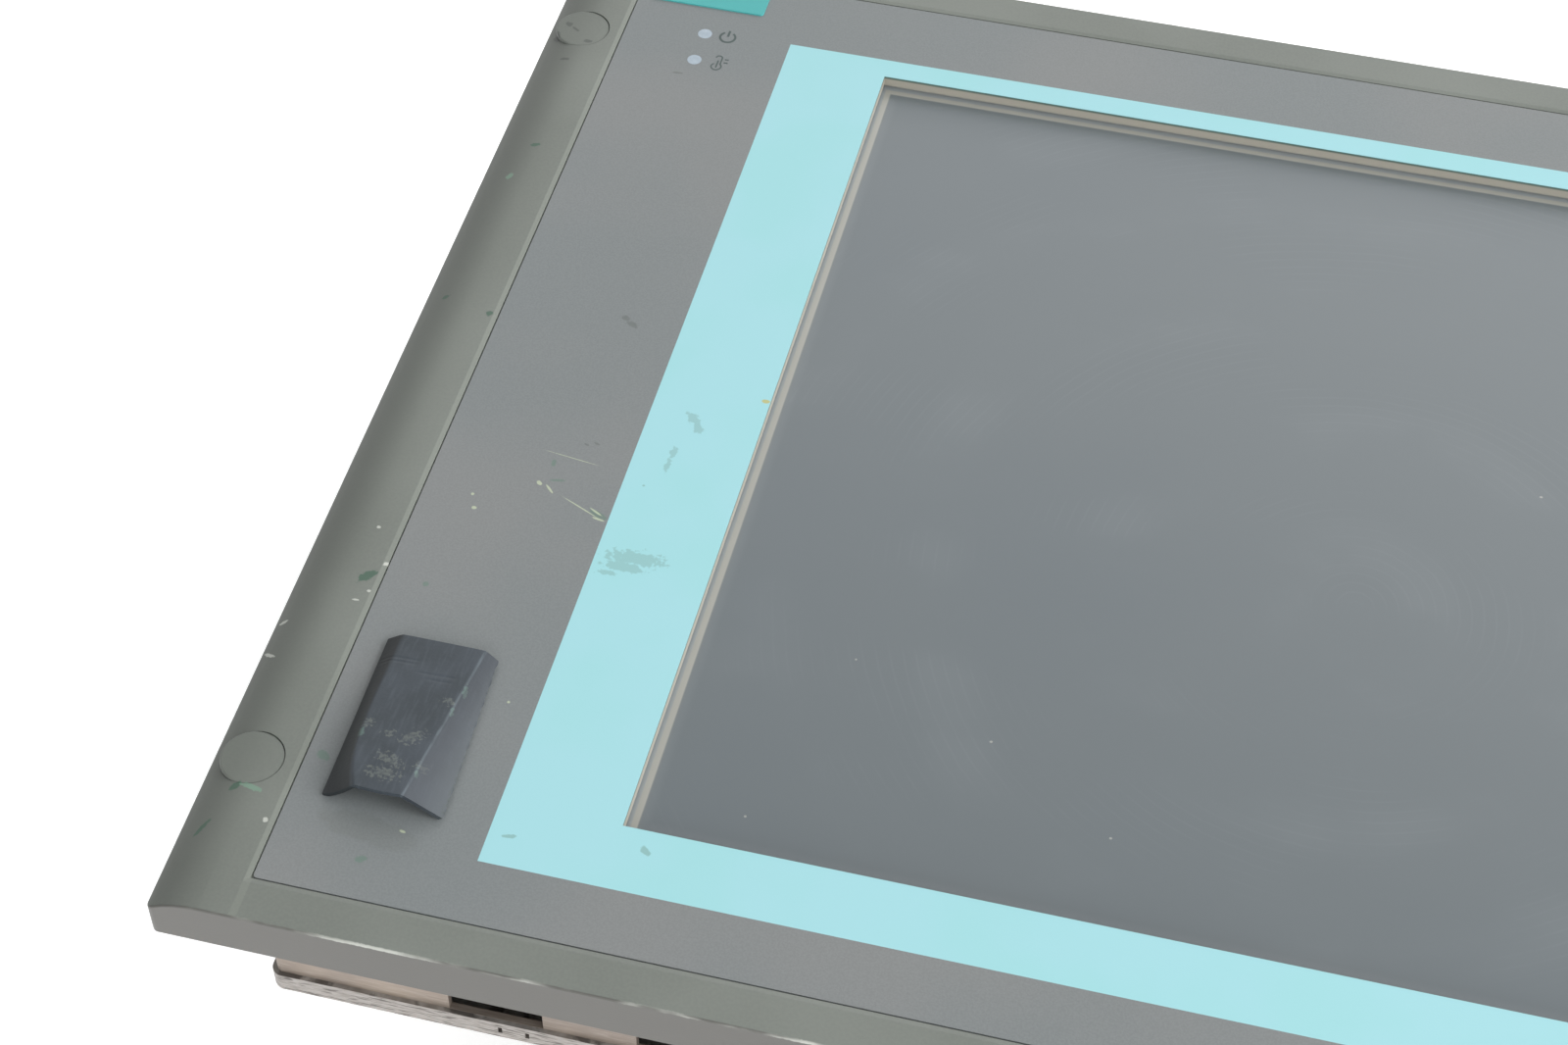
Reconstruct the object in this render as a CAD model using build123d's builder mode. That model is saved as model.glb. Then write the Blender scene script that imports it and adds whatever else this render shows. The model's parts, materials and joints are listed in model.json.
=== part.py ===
# Industrial panel computer: a 19-inch wide front with a sunk touch display, its sheet-metal housing,
# and a computer unit behind it. It lies on the computer unit's back.
#
# Millimetres. +X is the display's right, +Y its top and +Z points out of the front.
# The origin is the middle of the computer unit's back.

import os
from math import cos, radians, sin, sqrt

from build123d import *

os.makedirs("parts", exist_ok=True)

# ---------------------------------------------------------------- driving sizes

# Display window, and the foil's field round it
window_width = 309.7
window_height = 233.7
field_side = 67.3
field_top = 26.75
field_bottom = 29.65

# Front casting. With these rims it is 19 inches wide and 7 rack units high.
rim_side = 19.15
rim_top = 10.1
front_thickness = 11.4
front_corner = 1.5
side_radius = 20.0  # the rounding along the left and right edges
side_run = 11.3  # how far that rounding reaches in from the edge
rim_fillet = 0.5
web_thickness = 6.0  # the casting's plate, behind its rim
pocket_corner = 6.0

rack_edge_x = 8.75  # from the front's edges to the middles of the rack holes
rack_edge_y = 37.675
rack_hole_radius = 3.4
plug_radius = 6.7
plug_clearance = 0.05
plug_thickness = 3.9
plug_sink = 0.2
plug_fillet = 0.4

foil_thickness = 0.5
foil_gap = 0.35
foil_sink = 0.2
foil_bevel = 1.1
foil_corner = 0.8

band_left = 25.5  # widths of the printed band round the display
band_bottom = 15.2
band_top = 6.0
band_thickness = 0.15

wall_depth = 2.7  # from the foil down the display recess to the gasket
gasket_thickness = 1.0
gasket_inset = 0.8
glass_thickness = 2.2
glass_lap = 7.6  # how far the glass reaches past the window
glass_gap = 0.4
glass_corner = 1.5

plate_width = 29.8
plate_height = 9.0
plate_thickness = 0.4
plate_aside = 2.65  # from the foil's left edge
plate_drop = 3.05  # from the foil's top edge
plate_corner = 1.0

light_aside = 19.95  # from the foil's left edge
light_drops = (22.05, 32.25)  # from the foil's top edge
light_radius = 1.8
light_gap = 0.1
light_fit = 0.02
light_chip = (3.0, 0.9)  # side and height

socket_aside = 18.95  # from the foil's left edge
socket_rise = 42.05  # from the foil's lower edge
socket_width = 5.7  # across, along X
socket_length = 13.1  # along Y
socket_wall = 0.3
socket_margin = 0.9
socket_sink = 1.2
tongue_thickness = 1.8
tongue_aside = 1.3
tongue_gap = 1.3  # at each end

# Housing behind the front
housing_inset_x = 17.3  # from the front's edges to the housing's
housing_inset_y = 11.15
housing_depth = 31.8
housing_sheet = 1.5
housing_corner = 1.5
tray_sheet = 1.0
tray_lip = 6.0
tray_round = 1.2
flange_width = 9.0
clamp_slot_length = 20.0
clamp_slot_height = 9.5
clamp_slot_rise = 0.1  # above the tray's lip
clamp_pair_half = 19.9
clamp_corner_x = 68.7  # from the housing's corners to the outer pairs
clamp_corner_y = 59.0
notch_width = 0.9
notch_height = (3.4, 1.6)  # below the lip's edge
notch_half_gap = 2.9
notch_aside = 3.8
housing_screw_corner = (44.0, 34.0)
housing_screw_count = 4

seal_inset = 1.2  # between the housing's outline and the seal
seal_width = 3.2
seal_depth = 1.6
seal_proud = 0.9
seal_corner = 5.0

# Display module
module_lap_x = 8.4  # past the window
module_lap_y = 9.9
module_gap = 0.5
module_sheet = 0.6
module_depth = 8.8
module_back_sheet = 0.8
module_corner = 2.0
bezel_lap = 1.2
cell_gap = 2.0
cell_thickness = 1.8
guide_thickness = 5.0
guide_gap = (5.0, 9.0, 0.3)
tube_radius = 1.3
tube_gap = 1.2
tube_inset = 6.0
bracket_sheet = 1.2
bracket_gap = 0.4
bracket_length = 190.0
bracket_foot = 14.0
bracket_lip = 8.0
bracket_screw_inset = 20.0

# Computer unit
computer_width = 297.0
computer_height = 267.0
computer_depth = 75.7
case_sheet = 1.2
case_lip = 9.0
case_corner = 2.0
ear_width = 12.0
ear_length = 22.0
ear_y = 100.0
vent_width = 3.0
vent_pitch = 6.5
side_vents = 16
side_vent_left = -50.0
side_vent_z = (10.0, 36.0)
cover_vents = 22
cover_vent_pitch = 9.75
cover_vent_length = 46.0
cover_vent_y = 62.0

board_thickness = 1.6
standoff_height = 8.4
standoff_radius = 3.2
standoff_inset = 6.0

fan_size = 60.0
fan_depth = 15.0
fan_x = -20.0
fan_clearance = 1.4
shaft_radius = 1.5
shaft_clearance = 0.05

disk_width = 101.6  # along Y
disk_length = 147.0  # along X
disk_height = 20.0
cage_clearance = 0.35

screw_head_radius = 2.8
screw_head_height = 2.0
screw_radius = 1.5
screw_clearance = 0.2
casting_bite = 5.0  # how deep a screw goes into the casting
web_bite = 2.5
tap_clearance = 0.1

# ---------------------------------------------------------------- levels and places

foil_width = window_width + 2 * field_side
foil_height = window_height + field_top + field_bottom
front_width = foil_width + 2 * rim_side
front_height = foil_height + 2 * rim_top
housing_width = front_width - 2 * housing_inset_x
housing_height = front_height - 2 * housing_inset_y
module_width = window_width + 2 * module_lap_x
module_height = window_height + 2 * module_lap_y

housing_back_z = computer_depth
front_back_z = housing_back_z + housing_depth
front_z = front_back_z + front_thickness
foil_z = front_z - foil_sink
web_z = front_z - web_thickness
wall_z = foil_z - wall_depth
glass_z = wall_z - gasket_thickness
glass_back_z = glass_z - glass_thickness
module_z = glass_back_z - module_gap
module_back_z = module_z - module_depth
plug_seat_z = front_z - plug_sink - plug_thickness

tray_inside_z = housing_back_z + tray_sheet
lip_z = housing_back_z + tray_lip
shell_width = housing_width - 2 * tray_sheet
shell_height = housing_height - 2 * tray_sheet
inner_width = shell_width - 2 * housing_sheet
inner_height = shell_height - 2 * housing_sheet
pocket_width = inner_width - 2 * flange_width + 2 * housing_sheet
pocket_height = inner_height - 2 * flange_width + 2 * housing_sheet

glass_width = window_width + 2 * glass_lap
glass_height = window_height + 2 * glass_lap
window_rise = (field_bottom - field_top) / 2
display_middle = (0, window_rise)

foil_left = -foil_width / 2
foil_top = foil_height / 2
light_x = foil_left + light_aside
light_rows = [foil_top - drop for drop in light_drops]
socket_x = foil_left + socket_aside
socket_y = -foil_height / 2 + socket_rise
socket_opening = (socket_width + 2 * socket_margin, socket_length + 2 * socket_margin)

screw_x = (inner_width + pocket_width) / 4
screw_y = (inner_height + pocket_height) / 4
bracket_screw_x = module_width / 2 + bracket_gap + bracket_foot * 0.6
bracket_screw_y = bracket_length / 2 - bracket_screw_inset
bracket_screws_at = [(i * bracket_screw_x, j * bracket_screw_y) for i in (-1, 1) for j in (-1, 0, 1)]

case_left = -computer_width / 2
case_right = computer_width / 2
case_bottom = -computer_height / 2
case_top = computer_height / 2
base_z = computer_depth - case_sheet
board_z = base_z - standoff_height
board_face_z = board_z - board_thickness
fan_z = (2 * case_sheet + base_z) / 2

rack_x = front_width / 2 - rack_edge_x
rack_y = front_height / 2 - rack_edge_y
rack_places = [(i * rack_x, j * rack_y) for i in (-1, 1) for j in (-1, 1)]


# Places at equal steps from minus an end to plus that end.
def even_steps(end, count):
    return [end * (2 * step / (count - 1) - 1) for step in range(count)]


screw_end_x = housing_width / 2 - housing_screw_corner[0]
screw_end_y = housing_height / 2 - housing_screw_corner[1]
housing_screws_at = [(i * screw_x, y) for i in (-1, 1) for y in even_steps(screw_end_y, housing_screw_count)]
housing_screws_at += [(x, j * screw_y) for j in (-1, 1) for x in even_steps(screw_end_x, housing_screw_count)]


# ---------------------------------------------------------------- helpers

# An upright prism of a rectangle, between two heights.
def slab(size, low, high, at=(0, 0), corner=0, mode=Mode.ADD):
    with BuildSketch(Plane.XY.offset(low)) as outline:
        with Locations(at):
            if corner:
                RectangleRounded(*size, corner)
            else:
                Rectangle(*size)
    extrude(outline.sketch, amount=high - low, mode=mode)


# A box given by its two ends along each axis.
def block(x, y, z, mode=Mode.ADD):
    with Locations((sum(x) / 2, sum(y) / 2, sum(z) / 2)):
        Box(x[1] - x[0], y[1] - y[0], z[1] - z[0], mode=mode)


# A round bar from a point, along a direction.
def rod(radius, start, length, direction=(0, 0, 1), mode=Mode.ADD):
    with BuildSketch(Plane(origin=start, z_dir=direction)) as disc:
        Circle(radius)
    extrude(disc.sketch, amount=length, mode=mode)


# A pan-head screw: its head sits on a point and its shank goes along a direction.
def screw(start, shank, direction=(0, 0, 1), head=screw_head_radius, radius=screw_radius):
    back = tuple(-c for c in direction)
    rod(head, start, screw_head_height, back)
    rod(radius, start, shank, direction)
    top = tuple(s + b * screw_head_height for s, b in zip(start, back))
    for turn in (0, 90):
        cross = Plane(origin=top, z_dir=direction).rotated((0, 0, turn))
        with BuildSketch(cross) as slot:
            Rectangle(head * 1.1, head * 0.24)
        extrude(slot.sketch, amount=screw_head_height * 0.55, mode=Mode.SUBTRACT)


def finish(piece, name):
    piece.part.label = name
    export_step(piece.part, f"parts/{name}.step")


# ---------------------------------------------------------------- front frame

# The casting's section: flat front, a rounding that runs down to each side, and upright sides.
side_drop = side_radius - sqrt(side_radius**2 - side_run**2)
half_front = front_width / 2

with BuildPart() as front_frame:
    with BuildSketch(Plane.XZ.offset(-front_height / 2)) as section:
        with BuildLine():
            left_top = (-half_front + side_run, front_z)
            right_top = (half_front - side_run, front_z)
            left_edge = (-half_front, front_z - side_drop)
            right_edge = (half_front, front_z - side_drop)
            Line(left_top, right_top)
            RadiusArc(right_top, right_edge, side_radius)
            Polyline(right_edge, (half_front, front_back_z), (-half_front, front_back_z), left_edge)
            RadiusArc(left_edge, left_top, side_radius)
        make_face()
    extrude(amount=front_height)
    fillet(front_frame.edges().filter_by(Axis.Z), front_corner)

    # pocket for the foil, with a bevel along its rim
    with BuildSketch(Plane.XY.offset(front_z)) as bevel_top:
        Rectangle(
            foil_width + 2 * foil_gap + 2 * foil_bevel,
            foil_height + 2 * foil_gap + 2 * foil_bevel,
        )
    with BuildSketch(Plane.XY.offset(foil_z)) as bevel_foot:
        Rectangle(foil_width + 2 * foil_gap, foil_height + 2 * foil_gap)
    loft([bevel_foot.sketch.face(), bevel_top.sketch.face()], ruled=True, mode=Mode.SUBTRACT)
    slab(
        (foil_width + 2 * foil_gap, foil_height + 2 * foil_gap),
        foil_z - foil_thickness,
        foil_z,
        mode=Mode.SUBTRACT,
    )

    # hollow behind the web, seat of the glass and display window
    slab((pocket_width, pocket_height), front_back_z, web_z, corner=pocket_corner, mode=Mode.SUBTRACT)
    slab(
        (glass_width + 2 * glass_gap, glass_height + 2 * glass_gap),
        web_z - 1,
        wall_z,
        display_middle,
        mode=Mode.SUBTRACT,
    )
    slab((window_width, window_height), wall_z - 1, front_z, display_middle, mode=Mode.SUBTRACT)

    # rack holes, each with a round seat for its plug
    for x, y in rack_places:
        rod(rack_hole_radius, (x, y, front_back_z - 1), front_thickness + 2, mode=Mode.SUBTRACT)
        rod(plug_radius + plug_clearance, (x, y, plug_seat_z), front_thickness, mode=Mode.SUBTRACT)

    # ways through the web for the lights and the front socket
    for y in light_rows:
        rod(light_radius + light_gap, (light_x, y, web_z - 1), front_thickness, mode=Mode.SUBTRACT)
    slab(socket_opening, web_z - 1, front_z, (socket_x, socket_y), mode=Mode.SUBTRACT)

    # groove for the seal, round the cabinet's cut-out
    seal_inner = (housing_width + 2 * seal_inset, housing_height + 2 * seal_inset)
    seal_outer = (seal_inner[0] + 2 * seal_width, seal_inner[1] + 2 * seal_width)
    with BuildSketch(Plane.XY.offset(front_back_z)) as groove:
        RectangleRounded(*seal_outer, seal_corner)
        RectangleRounded(*seal_inner, seal_corner, mode=Mode.SUBTRACT)
    extrude(groove.sketch, amount=seal_depth, mode=Mode.SUBTRACT)

    # blind holes for the screws of the housing and the display's brackets
    tap_radius = screw_radius + tap_clearance
    for x, y in housing_screws_at:
        rod(tap_radius, (x, y, front_back_z - 1), 1 + casting_bite + 1, mode=Mode.SUBTRACT)
    for x, y in bracket_screws_at:
        rod(tap_radius, (x, y, web_z - 1), 1 + web_bite + 0.5, mode=Mode.SUBTRACT)

    # small radius along the top and bottom rims
    rims = [
        e
        for e in front_frame.edges().filter_by(Axis.X)
        if abs(abs(e.center().Y) - front_height / 2) < 0.1 and abs(e.center().Z - front_z) < 0.1
    ]
    fillet(rims, rim_fillet)
finish(front_frame, "front_frame")

with BuildPart() as mounting_seal:
    with BuildSketch(Plane.XY.offset(front_back_z - seal_proud)) as ring:
        RectangleRounded(*seal_outer, seal_corner)
        RectangleRounded(*seal_inner, seal_corner, mode=Mode.SUBTRACT)
    extrude(ring.sketch, amount=seal_depth + seal_proud)
finish(mounting_seal, "mounting_seal")

with BuildPart() as rack_hole_plugs:
    for x, y in rack_places:
        rod(plug_radius, (x, y, plug_seat_z), plug_thickness)
    plug_rims = rack_hole_plugs.edges().filter_by(GeomType.CIRCLE).group_by(Axis.Z)[-1]
    fillet(plug_rims, plug_fillet)
finish(rack_hole_plugs, "rack_hole_plugs")

# ---------------------------------------------------------------- foil, band, plate and lights

band_width = window_width + 2 * band_left
band_height = window_height + band_bottom + band_top
band_middle = (0, window_rise + (band_top - band_bottom) / 2)

with BuildPart() as front_foil:
    slab((foil_width, foil_height), foil_z - foil_thickness, foil_z, corner=foil_corner)
    slab((window_width, window_height), foil_z - 1, foil_z, display_middle, mode=Mode.SUBTRACT)
    slab((band_width, band_height), foil_z - band_thickness, foil_z, band_middle, mode=Mode.SUBTRACT)
    slab(socket_opening, foil_z - 1, foil_z, (socket_x, socket_y), mode=Mode.SUBTRACT)
    for y in light_rows:
        rod(light_radius, (light_x, y, foil_z - 1), 2, mode=Mode.SUBTRACT)
finish(front_foil, "front_foil")

with BuildPart() as display_band:
    slab((band_width, band_height), foil_z - band_thickness, foil_z, band_middle)
    slab((window_width, window_height), foil_z - 1, foil_z, display_middle, mode=Mode.SUBTRACT)
finish(display_band, "display_band")

with BuildPart() as name_plate:
    slab(
        (plate_width, plate_height),
        foil_z,
        foil_z + plate_thickness,
        (foil_left + plate_aside + plate_width / 2, foil_top - plate_drop - plate_height / 2),
        corner=plate_corner,
    )
finish(name_plate, "name_plate")

spacer_height = 7.0
small_board_z = web_z - spacer_height

# Clear rods that carry the light of each indicator from its board to the foil's face.
with BuildPart() as indicator_lights:
    rod_foot_z = small_board_z + light_chip[1] + light_gap
    for y in light_rows:
        rod(light_radius - light_fit, (light_x, y, rod_foot_z), foil_z - rod_foot_z)
finish(indicator_lights, "indicator_lights")

# ---------------------------------------------------------------- glass and its gasket

with BuildPart() as glass_gasket:
    slab((glass_width, glass_height), glass_z, wall_z, display_middle)
    slab(
        (window_width + 2 * gasket_inset, window_height + 2 * gasket_inset),
        glass_z - 1,
        wall_z,
        display_middle,
        mode=Mode.SUBTRACT,
    )
finish(glass_gasket, "glass_gasket")

with BuildPart() as touch_glass:
    slab((glass_width, glass_height), glass_back_z, glass_z, display_middle, corner=glass_corner)
finish(touch_glass, "touch_glass")

# ---------------------------------------------------------------- display module

with BuildPart() as display_bezel:
    slab((module_width, module_height), module_back_z, module_z, display_middle, corner=module_corner)
    slab(
        (module_width - 2 * module_sheet, module_height - 2 * module_sheet),
        module_back_z,
        module_z - module_sheet,
        display_middle,
        corner=module_corner - module_sheet,
        mode=Mode.SUBTRACT,
    )
    slab(
        (window_width - 2 * bezel_lap, window_height - 2 * bezel_lap),
        module_z - 2 * module_sheet,
        module_z,
        display_middle,
        mode=Mode.SUBTRACT,
    )
finish(display_bezel, "display_bezel")

cell_z = module_z - module_sheet
with BuildPart() as display_cell:
    cell_size = (module_width - 2 * cell_gap, module_height - 2 * cell_gap)
    slab(cell_size, cell_z - cell_thickness, cell_z, display_middle)
finish(display_cell, "display_cell")

guide_z = cell_z - cell_thickness - guide_gap[2]
guide_size = (module_width - 2 * guide_gap[0], module_height - 2 * guide_gap[1])
with BuildPart() as backlight_guide:
    slab(guide_size, guide_z - guide_thickness, guide_z, display_middle)
finish(backlight_guide, "backlight_guide")

with BuildPart() as backlight_tubes:
    for j in (-1, 1):
        tube_y = window_rise + j * (guide_size[1] / 2 + tube_radius + tube_gap)
        start = (tube_inset - module_width / 2, tube_y, guide_z - guide_thickness / 2)
        rod(tube_radius, start, module_width - 2 * tube_inset, (1, 0, 0))
finish(backlight_tubes, "backlight_tubes")

module_foot_z = module_back_z - module_back_sheet
with BuildPart() as display_back:
    slab((module_width, module_height), module_foot_z, module_back_z, display_middle, corner=module_corner)
finish(display_back, "display_back")

# A bracket on each side: a foot on the web, an upright past the module and a lip behind it.
with BuildPart() as display_brackets:
    with BuildSketch(Plane.XZ.offset(bracket_length / 2)) as profile:
        inner = module_width / 2 + bracket_gap
        low = module_foot_z - bracket_sheet
        with BuildLine():
            Polyline(
                (inner, web_z),
                (inner + bracket_foot, web_z),
                (inner + bracket_foot, web_z - bracket_sheet),
                (inner + bracket_sheet, web_z - bracket_sheet),
                (inner + bracket_sheet, low),
                (inner - bracket_lip, low),
                (inner - bracket_lip, low + bracket_sheet),
                (inner, low + bracket_sheet),
                close=True,
            )
        make_face()
        mirror(about=Plane.YZ)
    extrude(profile.sketch, amount=-bracket_length)
    for x, y in bracket_screws_at:
        rod(screw_radius, (x, y, web_z - 2), 3, mode=Mode.SUBTRACT)
finish(display_brackets, "display_brackets")

# ---------------------------------------------------------------- small boards behind the web

# Each board is (middle x, middle y, width, height). The left one serves the touch glass, the lights
# and the front socket; the right one drives the backlight tubes.
inverter_width = 24.0
front_board_width = 30.0
inverter_place = (pocket_width / 2 - 8 - inverter_width / 2, 0, inverter_width, 150.0)
front_board_place = (2 + front_board_width / 2 - pocket_width / 2, 2, front_board_width, pocket_height - 10)
small_board_corner = 1.0
transformer_size = (14.0, 30.0, 6.0)
transformer_y = 45.0
touch_chip = (14.0, 14.0, 1.6)
touch_chip_y = 20.0
spacer_radius = 2.0
spacer_inset = 3.0


def small_board(place):
    x, y, width, height = place
    slab((width, height), small_board_z - board_thickness, small_board_z, (x, y), corner=small_board_corner)


with BuildPart() as inverter_board:
    small_board(inverter_place)
    for j in (-1, 1):
        face_z = small_board_z - board_thickness
        place = (inverter_place[0], j * transformer_y)
        slab(transformer_size[:2], face_z - transformer_size[2], face_z, place, corner=1)
finish(inverter_board, "inverter_board")

with BuildPart() as front_board:
    small_board(front_board_place)
    face_z = small_board_z - board_thickness
    slab(touch_chip[:2], face_z - touch_chip[2], face_z, (front_board_place[0], touch_chip_y))
    side, height = light_chip
    for y in light_rows:
        slab((side, side), small_board_z, small_board_z + height, (light_x, y))
finish(front_board, "front_board")

with BuildPart() as board_spacers:
    for x, y, width, height in (inverter_place, front_board_place):
        for i in (-1, 1):
            for j in (-1, 1):
                aside = (width / 2 - spacer_inset, height / 2 - spacer_inset)
                rod(spacer_radius, (x + i * aside[0], y + j * aside[1], small_board_z), spacer_height)
finish(board_spacers, "board_spacers")

# ---------------------------------------------------------------- front socket and its flap

socket_top_z = foil_z - socket_sink
with BuildPart() as front_socket:
    slab((socket_width, socket_length), small_board_z, socket_top_z, (socket_x, socket_y), corner=0.6)
    slab(
        (socket_width - 2 * socket_wall, socket_length - 2 * socket_wall),
        small_board_z + socket_wall,
        socket_top_z,
        (socket_x, socket_y),
        corner=0.4,
        mode=Mode.SUBTRACT,
    )
finish(front_socket, "front_socket")

with BuildPart() as front_socket_tongue:
    slab(
        (tongue_thickness, socket_length - 2 * tongue_gap),
        small_board_z + socket_wall,
        socket_top_z - 1.0,
        (socket_x - tongue_aside, socket_y),
    )
finish(front_socket_tongue, "front_socket_tongue")

# The rubber flap is a folded sheet: a raised top and a wing down each side. It is low at its hinge and
# stands open like a mouth at its free end. Each end's outline is given from the left wing's tip, and
# all its places are measured from the socket's middle.
flap_sheet = 1.1
flap_rest = 0.3  # clear of the foil
flap_hinge_rise = 21.7
flap_end_drop = 20.2
flap_hinge_corners = (-12.3, -9.2, 9.0, 11.9)
flap_end_corners = (-12.2, -5.0, 5.2, 13.3)
flap_hinge_height = 2.1
flap_end_height = 6.1
flap_hem = flap_sheet * 0.6  # the wings' outer edges are thinner
flap_tuck = flap_sheet * 0.4


def flap_outline(y, corners, height):
    x = [socket_x + corner for corner in corners]
    with BuildSketch(Plane(origin=(0, y, foil_z + flap_rest), x_dir=(1, 0, 0), z_dir=(0, -1, 0))) as end:
        with BuildLine():
            Polyline(
                (x[0], 0),
                (x[0], flap_hem),
                (x[1], height),
                (x[2], height),
                (x[3], flap_hem),
                (x[3], 0),
                (x[3] - flap_sheet, 0),
                (x[2] - flap_tuck, height - flap_sheet),
                (x[1] + flap_tuck, height - flap_sheet),
                (x[0] + flap_sheet, 0),
                close=True,
            )
        make_face()
    return end.sketch.face()


with BuildPart() as socket_flap:
    hinge_end = flap_outline(socket_y + flap_hinge_rise, flap_hinge_corners, flap_hinge_height)
    free_end = flap_outline(socket_y - flap_end_drop, flap_end_corners, flap_end_height)
    loft([hinge_end, free_end], ruled=True)
finish(socket_flap, "socket_flap")

# ---------------------------------------------------------------- housing

clamp_outer_x = housing_width / 2 - clamp_corner_x
clamp_outer_y = housing_height / 2 - clamp_corner_y

with BuildPart() as display_housing:
    slab((shell_width, shell_height), tray_inside_z, front_back_z, corner=housing_corner)
    slab(
        (inner_width, inner_height),
        tray_inside_z,
        front_back_z - housing_sheet,
        corner=housing_corner - housing_sheet,
        mode=Mode.SUBTRACT,
    )
    slab((pocket_width, pocket_height), tray_inside_z, front_back_z, corner=pocket_corner, mode=Mode.SUBTRACT)

    # slots for the clamps, in pairs, in all four sides
    slot_z = (lip_z + clamp_slot_rise, lip_z + clamp_slot_rise + clamp_slot_height)
    half_slot = clamp_slot_length / 2
    for pair in (-clamp_outer_x, 0, clamp_outer_x):
        for x in (pair - clamp_pair_half, pair + clamp_pair_half):
            block((x - half_slot, x + half_slot), (-shell_height, shell_height), slot_z, Mode.SUBTRACT)
    for pair in (-clamp_outer_y, clamp_outer_y):
        for y in (pair - clamp_pair_half, pair + clamp_pair_half):
            block((-shell_width, shell_width), (y - half_slot, y + half_slot), slot_z, Mode.SUBTRACT)

    for x, y in housing_screws_at:
        rod(screw_radius + screw_clearance, (x, y, front_back_z - 2), 3, mode=Mode.SUBTRACT)
finish(display_housing, "display_housing")

# the same screws hold the housing and the display's brackets to the casting
with BuildPart() as front_screws:
    for x, y in housing_screws_at:
        screw((x, y, front_back_z - housing_sheet), housing_sheet + casting_bite)
    for x, y in bracket_screws_at:
        screw((x, y, web_z - bracket_sheet), bracket_sheet + web_bite)
finish(front_screws, "front_screws")

# The ribbon cable passes both metal sheets through one window.
cable_x = -60.0
cable_width = 30.0
cable_window = (cable_width + 14, 24.0)
cable_window_corner = 2.0
cable_sheet = 1.0
main_board_size = (236.0, 176.0)
main_board_x = 13.0
main_board_gap = 2.0
main_board_middle = (main_board_x, case_bottom + case_sheet + main_board_gap + main_board_size[1] / 2)
main_board_top = main_board_middle[1] + main_board_size[1] / 2
cable_rise_y = main_board_top + 16.3
computer_screw_x = case_right + ear_width / 2
computer_screws_at = [(i * computer_screw_x, j * ear_y) for i in (-1, 1) for j in (-1, 1)]

with BuildPart() as housing_back:
    slab((housing_width, housing_height), housing_back_z, lip_z, corner=housing_corner + tray_sheet)
    fillet(housing_back.faces().sort_by(Axis.Z)[0].edges(), tray_round)
    slab((shell_width, shell_height), tray_inside_z, lip_z, corner=housing_corner, mode=Mode.SUBTRACT)
    slab(
        cable_window,
        housing_back_z,
        tray_inside_z,
        (cable_x, cable_rise_y),
        corner=cable_window_corner,
        mode=Mode.SUBTRACT,
    )
    for x, y in computer_screws_at:
        rod(screw_radius, (x, y, housing_back_z - 1), 3, mode=Mode.SUBTRACT)
    # a pair of notches in the lip below each outer clamp slot
    notch_pair_x = clamp_outer_x + clamp_pair_half - notch_aside
    notch_z = (lip_z - notch_height[0], lip_z - notch_height[1])
    for i in (-1, 1):
        for side in (-1, 1):
            x = i * notch_pair_x + side * notch_half_gap
            wide = (x - notch_width / 2, x + notch_width / 2)
            block(wide, (-housing_height, housing_height), notch_z, Mode.SUBTRACT)
finish(housing_back, "housing_back")

# ---------------------------------------------------------------- computer unit: case

rocker_x = case_right - 14.5
rocker_z = 25.0
rocker_opening = (10.6, 18.6)
rocker_frame_wall = 1.5
inlet_x = rocker_x - 38.0
inlet_z = 25.0
inlet_size = (27.0, 19.8)
button_x = case_left + 36.5
button_z = 52.0
button_radius = 2.4
button_clearance = 0.1
stud_x = case_left + 20.5
stud_z = 20.0
stud_radius = 2.0
stud_neck_radius = 2.6
stud_neck_clearance = 0.05
card_y = 10.0
card_slot = (44.0, 6.0)  # along Y and Z
card_slot_z = board_face_z - 3.5
tray_y = 30.0
cover_screw_corner = 23.5
cage_sheet = 1.2
disk_tray_sheet = 1.2
disk_low_z = 8.0

cage_width = disk_width + 2 * (disk_tray_sheet + cage_clearance)
cage_low_z = disk_low_z - disk_tray_sheet - cage_clearance
cage_high_z = disk_low_z + disk_height + 3.0

door_sheet = 1.6
door_gap = 0.3
door_size = (card_slot[0] + 6, card_slot[1] + 7)
hinge_radius = 1.4
hinge_pin_radius = 0.7
hinge_clearance = 0.05
hinge_x = case_right + door_gap + hinge_radius
hinge_z = card_slot_z - door_size[1] / 2 - 0.4
door_ear_gap = 0.4
door_ear_thickness = 2.4
door_ear_half = 1.8

# Sockets in the case's lower side: name, middle along X, width, height.
socket_ports = {
    "serial_socket": (main_board_x - 93, 31.0, 12.5),
    "video_socket": (main_board_x - 53, 37.0, 13.0),
    "network_socket_1": (main_board_x - 21, 16.0, 13.5),
    "network_socket_2": (main_board_x - 1, 16.0, 13.5),
    "usb_sockets_1": (main_board_x + 19, 14.5, 15.6),
    "usb_sockets_2": (main_board_x + 37, 14.5, 15.6),
}
port_gap = 0.3

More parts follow.
